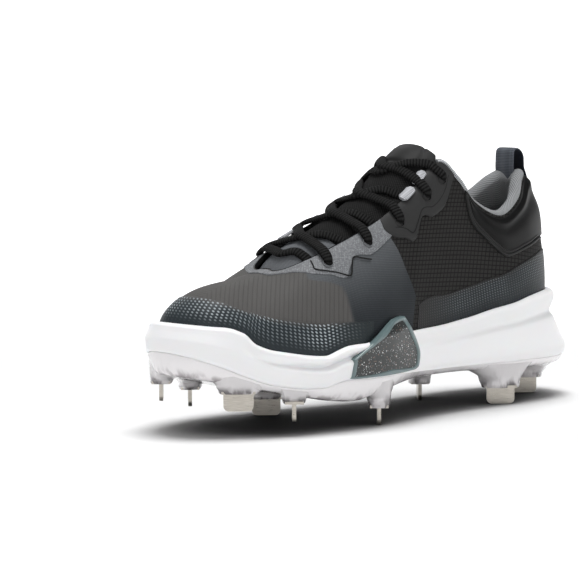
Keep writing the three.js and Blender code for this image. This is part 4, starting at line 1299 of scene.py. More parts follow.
@dataclass
class Upper:
    """The hollow shell, its padded collar, its lining and the overlays pressed on it."""

    last: Last
    maker: Maker
    wall: float = 2.2
    collar_pad: float = 6.5
    upper_stay: Finish = SmoothSkin(grey(0.03), grey(0.037), 0.45)
    lower_stay: Finish = CanvasFilm()
    around: int = 480
    up: int = 96
    roll: int = 10
    down: int = 40
    girth_row: int = 12
    collar_front: float = 7.3
    film: float = 0.45
    film_taper: float = 14.0
    film_lip: float = 0.7
    panel_end: float = 5.62
    upper_stay_ends: tuple[float, float] = (6.25, 8.95)
    lower_stay_end: float = 8.5
    cord_ends: tuple[float, float] = (7.05, 5.5)

    def relief(self, s: Array, h: Array) -> Array:
        """Soft creases and hollows of the wall, in mm."""
        u = from_heel(s)
        flex = -0.5 * swell(u, 10.9, 0.35) * swell(h, 0.62, 0.2)
        flex += 0.4 * swell(u, 11.5, 0.3) * swell(h, 0.66, 0.18)
        quarter = -0.5 * swell(u + 1.2 * h, 8.6, 0.35) * swell(h, 0.5, 0.2)
        waist = -0.6 * swell(u, 4.3, 0.9) * swell(h, 0.55, 0.16)
        toe = 2.8 * smoothstep(12.0, 14.3, u) * swell(h, 0.6, 0.22)
        return flex + quarter + waist + toe

    def padding(self, s: Array, h: Array) -> Array:
        """Thickness of the wall with its collar foam."""
        collar = 1 - smoothstep(5.6, 7.2, from_heel(s))
        return self.wall + self.collar_pad * collar * smoothstep(0.62, 0.86, h)

    def build(self) -> None:
        """Builds the upper's pieces."""
        self.build_shell()
        self.build_films()
        self.build_heel_panel()
        self.build_eyestays()
        self.build_seams()
        self.build_holes()

    def build_shell(self) -> None:
        """Builds the shell and its lining."""
        last = self.last
        s = all_round(self.around)[None, :]
        h = np.linspace(0, 1, self.up)[:, None]
        outer = last.off(s, h, self.relief(s, h) * smoothstep(0, 0.2, h))
        thick = self.padding(s, np.ones(1))[..., None]
        edge, normal = last.off(s, 1.0, 0.0)[0], last.normal(s, np.ones(1))[0]
        middle = edge - normal * thick[0] / 2
        bend = np.linspace(0, np.pi, self.roll + 2)[1:-1, None, None]
        reach = thick / 2
        top = np.array([0.0, 0.0, 1.0])
        roll = middle + normal * np.cos(bend) * reach + top * np.sin(bend) * reach * 1.05
        deep = np.linspace(1, 0, self.down)[:, None]
        inner = last.off(s, deep, -self.padding(s, deep))
        rings = np.concatenate([outer, roll, inner])
        wide = np.linspace(0, TURN, self.around + 1)
        level = np.concatenate([h[:, 0], np.full(self.roll, 1.0), deep[:, 0]])
        zone = pairs(from_heel(wide)[None, :], level[:, None])
        zone[:, -1, 0] = 0
        maps = {"zone": zone, "cloth": self.cloth_map(rings)}
        shell = self.maker.rings("upper_shell", rings, maps, closed=True)
        dress(shell, SideCloth(), "mesh_upper", "upper")
        station = from_heel((np.arange(self.around) + 0.5) * TURN / self.around)
        index = np.zeros((len(rings), self.around), int)
        index[self.up :] = np.where(station < self.collar_front, 1, 2)
        lining = Knit(grey(0.5, -0.02), grey(0.17, -0.03), 1.3)
        dress_parts(shell, index, lining, Knit(grey(0.02), grey(0.006)))

    def cloth_map(self, rings: Array) -> Array:
        """Millimetres along the shoe and up the wall at each point of a grid of rings.

        Args:
            rings: rows up the wall by points round the shoe.

        Returns:
            Pairs, with one more column than the grid.
        """
        closed = np.concatenate([rings, rings[:, :1]], axis=1)
        rise = np.cumsum(np.linalg.norm(np.diff(closed, axis=0), axis=2), axis=0)
        rise = np.concatenate([np.zeros((1, rise.shape[1])), rise])
        return pairs(travel(closed[self.girth_row])[None, :], rise)

    def overlay(
        self,
        name: str,
        stations: tuple[float, float, int],
        low: Field,
        high: Field,
        thick: float,
        puff: Optional[Callable[[Array, Array], Array]] = None,
        rows: int = 28,
        taper: float = 0.7,
    ) -> Piece:
        """A skin pressed on the wall between two borders, with rounded edges.

        Args:
            name: the piece's name.
            stations: first station, last station and steps between.
            low: its lower border.
            high: its upper border.
            thick: how far it stands out, in mm.
            puff: added stand-out from station and share of the way up.
            rows: points up the skin.
            taper: length over which its two ends thin out, in mm.

        Returns:
            The piece.
        """
        last = self.last
        first, final, steps = stations
        s = np.linspace(first, final, steps + 1)[:, None]
        a, b = low(s), high(s)
        tall = np.linalg.norm(last.wall(s, b) - last.wall(s, a), axis=-1)
        share = np.linspace(0, 1, rows)[None, :]
        lip = np.minimum(self.film_lip / np.maximum(tall, 1e-6), 0.25)
        foot = np.concatenate([0 * lip, 0.3 * lip, lip], axis=1)
        v = np.concatenate([foot, lip + (1 - 2 * lip) * share[:, 1:-1], 1 - foot[:, ::-1]], axis=1)
        h = a + (b - a) * v
        from_edge = np.minimum(v, 1 - v) * tall / self.film_lip
        run = travel(last.wall(s[:, 0], a[:, 0]))
        sides = np.minimum(run, run[-1] - run)[:, None] / taper
        rounded = np.sqrt(1 - (1 - np.clip(np.minimum(from_edge, sides + 0.05), 0, 1)) ** 2)
        out = last.gap * 0.3 + thick * rounded
        if puff is not None:
            out = out + puff(s, v) * smoothstep(0, 6, np.minimum(from_edge, sides))
        wall = self.relief(s, h)
        outer = last.off(s, h, wall + out)
        inner = last.off(s, h, wall - 0.5)
        maps = {"cloth": pairs(run[:, None], v * tall), "zone": pairs(from_heel(s), v)}
        return self.maker.sheet(name, outer, inner, maps)

    def build_films(self) -> None:
        """Builds the toe guard and the heel counter."""

        def above_rim(s: Array) -> Array:
            """Just above the white rim."""
            return self.last.rim_level(s) - 0.01

        black = grey(0.012)
        counter = PrintedFilm(
            base=(0.01, 0.0135, 0.016, 1.0),
            high=(0.018, 0.023, 0.027, 1.0),
            edge=black,
            beyond=black,
            fade=(7.4, 5.6),
            bare_toe=(20.0, 19.0),
            pitch=2.2,
            rows=1.5,
            strength=0.2,
        )
        for name, ends, top, finish in (
            ("toe_guard", (9.3, 20.8, 280), GUARD_TOP, PrintedFilm()),
            ("heel_counter", (-7.5, 7.5, 280), COUNTER_TOP, counter),
        ):
            film = self.overlay(
                f"{name}_film", ends, above_rim, border(top), self.film, taper=self.film_taper
            )
            dress(film, finish, "printed_film", name)

    def build_heel_panel(self) -> None:
        """Builds the padded heel panel and the piping along its foot."""

        def pad(s: Array, v: Array) -> Array:
            """The ankle pad and the collar roll."""
            ankle = 1.6 * swell(v, 0.42, 0.28) * (1 - 0.5 * smoothstep(0.8, 2.5, from_heel(s)))
            return ankle + 1.3 * swell(v, 0.9, 0.12)

        foot = border(PANEL_FOOT)
        ends = (-self.panel_end, self.panel_end, 260)
        panel = self.overlay(
            "heel_pad_skin", ends, lambda s: foot(s) + 0.012, lambda s: 0.99 + 0 * s, 0.9, pad, 40
        )
        dress(panel, SmoothSkin(), "smooth_black", "heel_panel")
        stations = np.linspace(-5.6, 5.6, 300)
        slim = 0.3 + 0.7 * smoothstep(0.9, 2.8, np.abs(stations))
        for k, (shift, nodes) in enumerate(((-0.004, ("heel_piping",)), (0.024, ()))):
            h = foot(stations) + shift
            line, ups = self.last.off(stations, h, 0.55 * slim), self.last.normal(stations, h)
            cord = self.maker.tube(f"heel_piping_{k + 1}", line, ups, 0.95 * slim, 0.85 * slim, 12)
            dress(cord, SmoothSkin(grey(0.014), grey(0.028)), "smooth_black", *nodes)

    def build_eyestays(self) -> None:
        """Builds the films round the throat."""

        def edge(s: Array) -> Array:
            """Just under the throat's edge."""
            return 0.985 + 0 * s

        ends = (self.lower_stay_end, TURN - self.lower_stay_end, 420)
        lower = self.overlay("lower_eyestay", ends, border(LOWER_STAY_FOOT), edge, 0.6, rows=20)
        dress(lower, self.lower_stay, "stay_film", "eyestay")
        for side in Side:
            first, final = sorted(side.station(end) for end in self.upper_stay_ends)
            ends = (first, final, 150)
            stay = self.overlay(
                f"upper_eyestay_{side.value}", ends, border(UPPER_STAY_FOOT), edge, 1.0, rows=20
            )
            dress(stay, self.upper_stay, "stay_film")

    def seam(
        self, name: str, rows: Sequence[tuple[float, float]], stand: float, radius: float, shade: Colour
    ) -> None:
        """A stitched groove as a thin dark line on the film.

        Args:
            name: the piece's name.
            rows: stations and heights that it runs through.
            stand: how far out of the wall its middle lies.
            radius: half its width.
            shade: its colour.
        """
        place = spaced(np.array([(s, h, 0.0) for s, h in rows]), 24 * len(rows))
        line = self.last.off(place[:, 0], place[:, 1], stand)
        ups = self.last.normal(place[:, 0], place[:, 1])
        seam = self.maker.tube(name, line, ups, radius, radius * 0.6, 8)
        dress(seam, SmoothSkin(shade, shade, 0.7), "stay_film")

    def build_seams(self) -> None:
        """Builds the stitched grooves of the eyestays and the light cord on the collar's front."""
        for side in Side:
            for name, rows, stand, radius, shade in (
                ("lower", LOWER_SEAM, 0.72, 0.45, grey(0.014)),
                ("upper", UPPER_SEAM, 1.0, 0.3, grey(0.017)),
            ):
                turned = [(side.station(s), h) for s, h in rows]
                self.seam(f"{name}_stay_seam_{side.value}", turned, stand, radius, shade)
            line = self.last.off(side.station(np.linspace(*self.cord_ends, 60)), 1.0, -0.6) + [0, 0, 0.9]
            ups = np.array([[0, 0, 1.0]] * 60)
            wide = np.linspace(2.3, 1.3, 60)
            cord = self.maker.tube(f"collar_cord_{side.value}", line, ups, wide, 1.3, 12)
            dress(cord, Webbing((0.62, 0.64, 0.66, 1), (0.12, 0.125, 0.13, 1), 1.1), "webbing")

    def build_holes(self) -> None:
        """Builds the punched eyelets as rings whose sunk middle is painted near black as the hole's shade."""
        last = self.last
        turn = circle(24)[:, None]
        profile = ((3.0, -0.9), (2.9, 0.15), (2.6, 0.25), (2.2, -0.1), (1.8, -1.0))
        for side in Side:
            for k, (at, up) in enumerate(EYELETS):
                if k == UNDER_EDGE:
                    continue
                spot = np.array(side.station(at)), np.array(up)
                centre, n = last.off(*spot, 1.15), last.normal(*spot)
                a = unit(np.cross(n, [0, 0, 1.0]))
                b = np.cross(n, a)
                rings = [centre + r * (np.cos(turn) * a + np.sin(turn) * b) + n * out for r, out in profile]
                ring = self.maker.capped(f"eyelet_{side.value}_{k + 1}", rings)
                dress(ring, self.upper_stay if k < UPPER_EYELETS else self.lower_stay, "stay_film")
                # The sunk middle is painted near black as the shade inside the hole.
                self.maker.dress_inside(ring, 2, len(turn), SmoothSkin(grey(0.002), grey(0.003), 0.8))


# Sole


@dataclass
class Sole:
    """The white midsole, the clear plate with its pedestals, the insert and the insole."""

    last: Last
    maker: Maker
    rim: float = 3.2
    plate: float = 3.0
    plate_edge: float = 1.6
    arch_inset: float = 8.0
    around: int = 480
    boss: tuple[float, float] = (23.0, 13.5)
    toe_boss: tuple[float, float] = (21.5, 12.5)
    # The pedestals' low colour is painted shade and painted dark reflection towards their feet.
    ice: Finish = ClearPlastic(
        colour=(0.95, 0.93, 0.94, 1.0),
        clouded=(0.88, 0.85, 0.865, 1.0),
        clear=0.3,
        rough=0.08,
        low=(0.17, 0.155, 0.16, 1.0),
        flow=1.0,
    )
    edge_cloud: Array = field(init=False, repr=False)

    def build(self) -> None:
        """Builds the sole's pieces and dresses the blades."""
        self.build_midsole()
        self.build_plate()
        self.build_insert()
        self.build_insole()
        self.dress_blades()

    def frame_at(self, s: Array) -> dict[str, Array]:
        """Heights and directions that the side's rings are built on, at stations s."""
        last = self.last
        x = last.between(s)[..., 0]
        return {
            "x": x,
            "top": last.rim_top(x, s),
            "low": last.side_foot(x),
            "under": last.underside(x),
            "out": last.outward(s),
            "rim": last.off(s, last.rim_level(s), last.gap),
            "inset": self.arch_inset * last.column(SOLE, "waist", x),
        }

    def point(self, f: dict[str, Array], stand: Array, z: Array) -> Array:
        """Points that stand out from the rim at height z."""
        p = f["rim"].copy()
        p[..., 2] = z
        return p + f["out"] * np.broadcast_to(stand, f["x"].shape)[..., None]

    def stand(self, f: dict[str, Array], key: str) -> Array:
        """Stand of one of the side's lines."""
        return self.rim + self.last.column(SIDE, key, f["x"])

    def side(self, f: dict[str, Array]) -> list[tuple[Array, Array]]:
        """The white side from its rim to its foot, as stand and share of the way down."""
        lip, groove, ridge, base = (self.stand(f, k) for k in ("lip", "groove", "ridge", "base"))
        return [
            (lip, 0.12),
            (0.6 * lip + 0.4 * groove, 0.22),
            (groove, 0.34),
            (0.35 * groove + 0.65 * ridge, 0.42),
            (ridge, 0.5),
            (0.5 * ridge + 0.5 * base, 0.67),
            (base, 0.84),
            (base - 0.15, 0.94),
        ]

    def build_midsole(self) -> None:
        """Builds the white midsole round the upper's foot."""
        last = self.last
        s = all_round(self.around)
        f = self.frame_at(s)
        top, low = f["top"], f["low"]
        base = self.stand(f, "base")
        brow = self.rim + 0.7 * (self.stand(f, "lip") - self.rim)
        inner = base - f["inset"]
        section = [
            (-1.5, top - 3.0),
            (0.1, top - 0.5),
            (0.5 * self.rim, top + 0.45),
            (brow, top - 0.03 * (top - low)),
            *((stand, top - down * (top - low)) for stand, down in self.side(f)),
            (base - 0.9, low),
            (inner - self.plate_edge - 1.0, low + 0.1),
            (inner - 3 * self.plate, f["under"] + self.plate + last.gap),
        ]
        rings = through(np.array([self.point(f, stand, z) for stand, z in section]), 5)
        bed = last.off(s, 0.0, last.gap)
        bed[..., 2] = last.bed(f["x"])
        rings = np.concatenate([bed[None], rings])
        foam = self.maker.rings("midsole_foam", rings)
        dress(foam, Foam(), "white_foam", "midsole")

    def build_plate(self) -> None:
        """Builds the clear plate and the pedestal over each blade."""
        f = self.frame_at(all_round(self.around))
        low, under = f["low"], f["under"]
        base = self.stand(f, "base") - 0.9 - f["inset"]
        section = (
            (9, under),
            (7, under),
            (3.6, low - 0.84 * (low - under)),
            (1.2, low - 0.45 * (low - under)),
            (0.1, low - 0.12 * (low - under)),
            (0.4, low - 0.1),
            (self.plate_edge, low - 0.1),
            (2 * self.plate, under + self.plate),
        )
        control = np.array([self.point(f, base - inward, z) for inward, z in section])
        rings = through(control, 4)
        share = np.clip((rings[..., 2] - under) / (low - under), 0, 1)
        share = np.concatenate([share, share[:, :1]], axis=1)
        station = np.linspace(0, TURN, self.around + 1)
        plate = self.maker.rings("clear_plate", rings, {"zone": pairs(station[None, :], share)})
        # The plate's low colour is painted shade and painted dark reflection along its lower edge.
        dress(plate, ClearPlastic(low=(0.42, 0.39, 0.4, 1.0)), "clear_plate", "outsole_plate")
        self.edge_cloud = through(control[1:5], 4)
        for spike in SPIKES:
            self.pedestal(spike)

    def pedestal(self, spike: Spike) -> None:
        """Builds the flared stand over one blade, kept inside the plate's edge.

        Args:
            spike: the blade.
        """
        last = self.last
        x, y = spike.at * last.length, spike.side * last.ball_width / 2
        foot = last.spring(x) + last.blade_height - 1.4
        angle = math.radians(spike.turn)
        spin = np.array([[math.cos(angle), -math.sin(angle)], [math.sin(angle), math.cos(angle)]])
        flare, size = (0.9, self.boss) if spike.at < 0.4 else (0.3, self.toe_boss)
        rows, cols = 18, 64
        rings, shares = [], np.linspace(0, 1, rows)
        outline, turn = oval(cols, 0.75) * np.array(size) / 2, circle(cols)
        for share in shares:
            wide = 0.94 + 0.06 * math.sqrt(min(share * 5, 1)) + flare * share**2.4
            lump = 0.035 * np.sin(3 * turn + 9 * share + x) + 0.025 * np.sin(5 * turn - 7 * share + y)
            swollen = outline * (wide + lump * math.sin(math.pi * share))[:, None]
            flat, top = self.seat(swollen @ spin.T + [x, y])
            rings.append(np.column_stack([flat, foot + (top + 0.4 - foot) * share**0.8]))
        zone = pairs(np.arange(cols + 1)[None, :], shares[:, None])
        corners = self.maker.grid_corners(zone, rows - 1, cols)
        corners = np.concatenate([corners, np.zeros((cols, 2)), np.ones((cols, 2))])
        stand = self.maker.capped(f"pedestal_{spike.name}", rings, {"zone": corners})
        dress(stand, self.ice, "clear_plate")

    def seat(self, flat: Array) -> tuple[Array, Array]:
        """Moves points inside the plate's edge and reads its underside over them.

        Args:
            flat: places seen from above.

        Returns:
            The places kept inside, and the underside's height at each.
        """
        cloud = self.edge_cloud.reshape(-1, 3)
        rim = self.edge_cloud[-3]
        after = np.roll(rim, -1, axis=0)
        above = (rim[None, :, 1] > flat[:, None, 1]) != (after[None, :, 1] > flat[:, None, 1])
        rise = np.where(np.abs(after[:, 1] - rim[:, 1]) < 1e-9, 1e-9, after[:, 1] - rim[:, 1])
        cross = rim[None, :, 0] + (flat[:, None, 1] - rim[None, :, 1]) * (after[:, 0] - rim[:, 0]) / rise
        inside = (above & (flat[:, None, 0] < cross)).sum(axis=1) % 2 == 1
        nearest = rim[np.linalg.norm(flat[:, None] - rim[None, :, :2], axis=2).argmin(axis=1), :2]
        kept = np.where(inside[:, None], flat, nearest)
        far = np.linalg.norm(kept[:, None] - cloud[None, :, :2], axis=2)
        top = np.where(far.min(axis=1) > 2.0, self.last.underside(kept[:, 0]), cloud[far.argmin(axis=1), 2])
        return kept, top

    def side_surface(self, x: Array, z: Array, out: Array) -> Array:
        """Points of the outer side above and below the rim, found from x and z.

        Args:
            x: places along the shoe.
            z: heights.
            out: how far the points stand out of the side.

        Returns:
            Points in millimetres.
        """
        low, high = np.full_like(x, 6.5), np.full_like(x, 11.5)
        for _ in range(26):
            mid = (low + high) / 2
            short = self.side_point(mid, z, out)[..., 0] < x
            low, high = np.where(short, mid, low), np.where(short, high, mid)
        return self.side_point((low + high) / 2, z, out)

    def side_point(self, s: Array, z: Array, out: Array) -> Array:
        """One point of the outer side at station s and height z."""
        last = self.last
        f = self.frame_at(s)
        down = np.clip((f["top"] - z) / (f["top"] - f["low"]), 0, 1)
        brow = self.rim + 1.1 * (self.stand(f, "lip") - self.rim)
        stand = brow + (self.stand(f, "base") - 0.2 - brow) * down + 0.5 * np.sin(np.pi * down)
        low_point = self.point(f, stand + out, z)
        up = last.wall_at(s, np.maximum(z, f["top"]))
        above = np.maximum(z - f["top"], 0)
        lean = brow * (1 - 0.3 * smoothstep(1.5, 9.0, above)) + np.asarray(out)
        high_point = last.off(s, up, last.gap) + f["out"] * lean[..., None]
        high_point[..., 2] = z
        t = smoothstep(-1.0, 0.5, z - f["top"])[..., None]
        return low_point * (1 - t) + high_point * t

    def build_insert(self) -> None:
        """Builds the speckled insert of the outer side and its clear border."""
        last = self.last
        outline = np.array([(a * last.length, 0.0, z * last.heel_bed) for a, z in INSERT])
        closed = np.concatenate([outline[-2:], outline, outline[:3]])
        loop = through(closed, 12)[24 : 24 + 12 * len(outline)]
        middle = loop.mean(axis=0)
        away = unit(loop - middle)
        half = np.linalg.norm(loop - middle, axis=1)[:, None]
        frame_rings = ((0, -2.5), (0, 0.35), (0.5, 0.75), (1.2, 0.85), (2.2, 0.75), (2.6, 0.3), (2.8, 0.1))
        rings = [(inward, 1.0, out) for inward, out in frame_rings]
        rings += [(2.8, share, 0.1 + 0.5 * (1 - share)) for share in np.linspace(0.92, 0.02, 22)]
        points = []
        for inward, share, out in rings:
            p = middle + away * np.maximum(half - inward, 0) * share
            points.append(self.side_surface(p[:, 0], p[:, 2], np.full(len(p), out)))
        insert = self.maker.capped("speckled_insert", points)
        clear = ClearPlastic((0.16, 0.225, 0.232, 1), (0.11, 0.165, 0.17, 1), 0.1, 0.25)
        dress(insert, clear, "speckled_insert", "side_insert")
        self.maker.dress_inside(insert, len(frame_rings) - 1, len(loop), SpeckledFace())

    def build_insole(self) -> None:
        """Builds the insole with its raised rim."""
        last = self.last
        s = np.linspace(0.02, TOE - 0.02, 200)
        across = np.linspace(0, 1, 28)
        outer = last.off(s, 0.02, -2.9)
        inner = last.off(TURN - s, 0.02, -2.9)
        grid = outer[:, None] + (inner - outer)[:, None] * across[None, :, None]
        height = last.bed(grid[..., 0]) + last.gap
        rise = 2.2 * np.abs(2 * across - 1)[None, :] ** 6
        top, bottom = grid.copy(), grid.copy()
        top[..., 2] = height + 4.0 + rise
        bottom[..., 2] = height + 0.1
        uv = np.stack([top[..., 0], top[..., 1]], axis=-1)
        sock = self.maker.sheet("insole_cloth", top, bottom, {"cloth": uv})
        dress(sock, Knit(grey(0.1, -0.05), grey(0.03, -0.05), 1.6), "grey_fabric", "insole")

    def dress_blades(self) -> None:
        """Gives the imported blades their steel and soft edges."""
        for spike in SPIKES:
            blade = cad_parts[f"spike_{spike.name}"]
            blade.data.materials.clear()
            blade.data.materials.append(Steel().material())
            soften = blade.modifiers.new("soft_edges", "BEVEL")
            soften.width = 0.3 * MM
            soften.segments = 2
            soften.limit_method = "ANGLE"
            soften.angle_limit = math.radians(35)
            LOG.info("spike_%s: packed blade kept", spike.name)


# Closure


@dataclass
class Closure:
    """The padded tongue, the lace in its eyelets and the small webbing tabs."""

    last: Last
    maker: Maker
    thickness: float = 5.0
    lace: tuple[float, float] = (3.0, 1.35)

    def build(self) -> None:
        """Builds the tongue, the lace and the tabs."""
        self.build_tongue()
        self.build_lace()
        self.build_tabs()

    def tongue_rows(self) -> Array:
        """The tongue's table in mm: place, height, half width and crown of each row."""
        last = self.last
        sizes = np.array([last.length, last.collar_height, last.ball_width / 2, 1.0])
        return np.array(TONGUE) * sizes

    def build_tongue(self) -> None:
        """Builds the tongue with its stuffed rim and seams."""
        line = through(self.tongue_rows(), 10)
        along = unit(np.gradient(line[:, :2], axis=0))
        up = np.stack([along[:, 1], 0 * along[:, 0], -along[:, 0]], axis=1)
        up *= np.sign(up[:, 2:3] + 1e-9)
        share = np.linspace(0, 1, len(line))[:, None]
        v = np.sin(np.linspace(-np.pi / 2, np.pi / 2, 49))[None, :]
        crown = line[:, 3:4] * v**2
        edge = np.sqrt(np.maximum(1 - np.abs(v) ** 5, 0))
        ends = np.minimum(1, np.sqrt(np.maximum(1 - (np.maximum(share - 0.93, 0) / 0.071) ** 2, 0)))
        thick = self.thickness * (0.35 + 0.65 * edge) * (0.4 + 0.6 * ends)
        pad = 0.9 * smoothstep(0.45, 0.62, share) * (1 - v**4)
        seam = -0.7 * swell(np.abs(v), 0.62, 0.05) * smoothstep(0.4, 0.5, share)
        seam = seam - 0.9 * swell(share, 0.8, 0.012) * smoothstep(0.75, 0.6, np.abs(v))
        middle = np.stack([line[:, 0], 0 * line[:, 0], line[:, 1]], axis=1)[:, None]
        spread = line[:, 2:3] * v
        swollen = (pad + seam) * edge - self.thickness * 0.2 * (1 - edge)
        outer = middle + up[:, None] * (-crown + swollen)[..., None]
        inner = middle + up[:, None] * (-crown - thick)[..., None]
        outer[..., 1] = spread
        inner[..., 1] = spread * 0.97
        uv = pairs(spread, travel(line[:, :2])[:, None])
        tongue = self.maker.sheet("tongue_pad", outer, inner, {"cloth": uv}, 60)
        dress(tongue, Knit(grey(0.03), grey(0.008), 1.5), "tongue_fabric", "tongue")
        cols = 2 * v.shape[1]
        body = (len(line) - 1) * cols
        part = np.arange(body) // cols / (len(line) - 1)
        index = np.zeros(len(tongue.data.polygons), int)
        index[:body] = np.where(part > 0.78, 1, np.where(part < 0.36, 2, 0))
        pale = Knit((0.25, 0.262, 0.28, 1), (0.1, 0.106, 0.114, 1), 1.0)
        dress_parts(tongue, index, SmoothSkin(grey(0.012), grey(0.02), 0.5), pale)

    def run_line(self, run: LaceRun) -> tuple[Array, Array]:
        """One run's middle line and its thin direction.

        Args:
            run: the run.

        Returns:
            Points and directions, one row for each point.
        """
        last = self.last
        stand = 1.6 + self.lace[1]
        inner = EYELETS[run.eyelet]
        node = np.array([run.crest, 0.0, self.over_tongue(run.crest, 0.0) + run.over * 1.1 * self.lace[1]])
        stops = [node]
        for side, s, up in ((Side.OUTER, run.at, run.up), (Side.INNER, *inner)):
            turned = np.array(side.station(s))
            if up < 1:
                hole = last.off(turned, np.array(up), -1.5)
                mouth = last.off(turned, np.array(up + 0.02), stand - 1.2)
                lip = self.lip(mouth, node, side) + [0, 0, stand + 0.2]
                half = (mouth + lip) / 2 + last.normal(turned, np.array(up)) * 0.9
                part = [hole, mouth, half, lip]
            else:
                edge = last.off(turned, np.array(1.0), -2.2)
                part = [last.off(turned, np.array(0.9), -4.6), edge - [0, 0, 1.6]]
            between = (part[-1] + node) / 2
            between[2] = max(between[2], self.over_tongue(between[0], between[1])) + 0.2
            part.append(between)
            stops = part + stops if side is Side.OUTER else stops + part[::-1]
        line = spaced(np.array(stops), 120)
        first, final = (last.normal(np.array(s), np.array(0.85)) for s in (run.at, TURN - inner[0]))
        top = unit(np.array([0.5, 0, 1.0]))
        t = 2 * np.linspace(0, 1, len(line))[:, None]
        ups = np.where(t < 1, first * (1 - t) + top * t, top * (2 - t) + final * (t - 1))
        return line, unit(ups)

    def over_tongue(self, x: float, y: float) -> float:
        """Height at which a lace's middle lies on the tongue's crowned face at (x, y)."""
        at, *columns = self.tongue_rows()[::-1].T
        crest, half, crown = (float(np.interp(x, at, column)) for column in columns)
        return crest + 1.0 + self.lace[1] - 1.3 * crown * (y / half) ** 2

    def lip(self, start: Array, node: Array, side: Side) -> Array:
        """Where a straight run from an eyelet to the crest crosses the throat's edge.

        Args:
            start: the eyelet's mouth.
            node: the place on the crest.
            side: the side of the throat.

        Returns:
            The point on the edge.
        """
        edge = self.last.wall(side.station(np.linspace(6.3, 14.5, 400)), 1.0)
        run = node - start
        aside = (edge[:, 0] - start[0]) * run[1] - (edge[:, 1] - start[1]) * run[0]
        far = np.abs(aside) + 50 * (np.linalg.norm(edge[:, :2] - start[:2], axis=1) > 30)
        return edge[int(far.argmin())].copy()

    def build_lace(self) -> None:
        """Runs the lace through the eyelets."""
        total = 0.0
        for k, run in enumerate(RUNS):
            line, ups = self.run_line(run)
            taper = 0.72 + 0.28 * smoothstep(0, 0.1, from_ends(len(line)))
            wide, thick = self.lace[0] * taper, self.lace[1] / taper**0.5
            cord = self.maker.tube(f"lace_run_{k + 1}", line, ups, wide, thick, 20, 0.8)
            nodes = ("laces",) if k == 0 else ()
            dress(cord, RibbedCord(), "lace_cord", *nodes)
            total += float(travel(line)[-1])
        LOG.info("lace runs: %.0f mm in all", total)

    def build_tabs(self) -> None:
        """Builds the light webbing tabs along the throat's edges that the under runs pass through."""
        last = self.last
        for k, (side, first, final) in enumerate(TABS):
            stations = side.station(np.linspace(first, final, 24))
            line = last.off(stations, 0.99, 1.5)
            line[:, 2] += 0.6
            ups = last.normal(stations, np.array(0.97)) + [0, 0, 0.6]
            wide = 2.9 * (0.55 + 0.45 * smoothstep(0, 0.12, from_ends(24)))
            tab = self.maker.tube(f"webbing_tab_{k + 1}", line, unit(ups), wide, 1.0, 16, 0.6)
            dress(tab, Webbing((0.6, 0.61, 0.64, 1), (0.2, 0.205, 0.215, 1), 1.1), "webbing")


@dataclass
class PullLoop:
    """The webbing loop at the back of the collar."""

    last: Last
    maker: Maker
    width: float = 14.0
    thickness: float = 1.8
    rise: float = 15.0
    aside: float = -2.5
    stand: float = 2.9
    shoulder: float = 4.4
    sides: int = 28

    def build(self) -> None:
        """Builds the loop over the collar roll."""
        last = self.last
        zero = np.array(0.0)
        back = [last.off(zero, np.array(h), self.stand) for h in (0.7, 0.78, 0.86, 0.94, 1.0)]
        roll = last.off(zero, np.array(1.0), -4.35) + [3.8, 0, 4.35]
        front = roll + [0, 0, 0.9]
        back.append(back[-1] + [1.6, 0, 3.5])
        arch = []
        shoulder = front + [0, 0, self.shoulder]
        for a in np.linspace(0, np.pi, 9)[1:-1]:
            p = back[-1] + (shoulder - back[-1]) * (1 - math.cos(a)) / 2
            arch.append(p + [0, 0, (0.8 * self.rise - 3.2) * math.sqrt(math.sin(a))])
        stops = back + arch + [shoulder, front, front + [-1.0, 0, -7]]
        line = spaced(np.array(stops), 120) + [0.0, self.aside, 0.0]
        ups = np.cross(unit(np.gradient(line, axis=0)), [0.0, 1.0, 0.0])
        half = self.width / 2, self.thickness / 2
        loop = self.maker.tube("pull_loop_webbing", line, ups, *half, self.sides, 0.35)
        dress(loop, Webbing((0.12, 0.132, 0.152, 1), (0.05, 0.055, 0.066, 1)), "webbing", "pull_loop")
        # The inner half of the webbing's section is painted near black: painted shade on the loop's inner
        # faces.
        inside = np.arange(len(loop.data.polygons)) % self.sides >= self.sides // 2
        dress_parts(loop, inside, Webbing((0.012, 0.014, 0.022, 1), (0.005, 0.006, 0.01, 1)))


# Studio


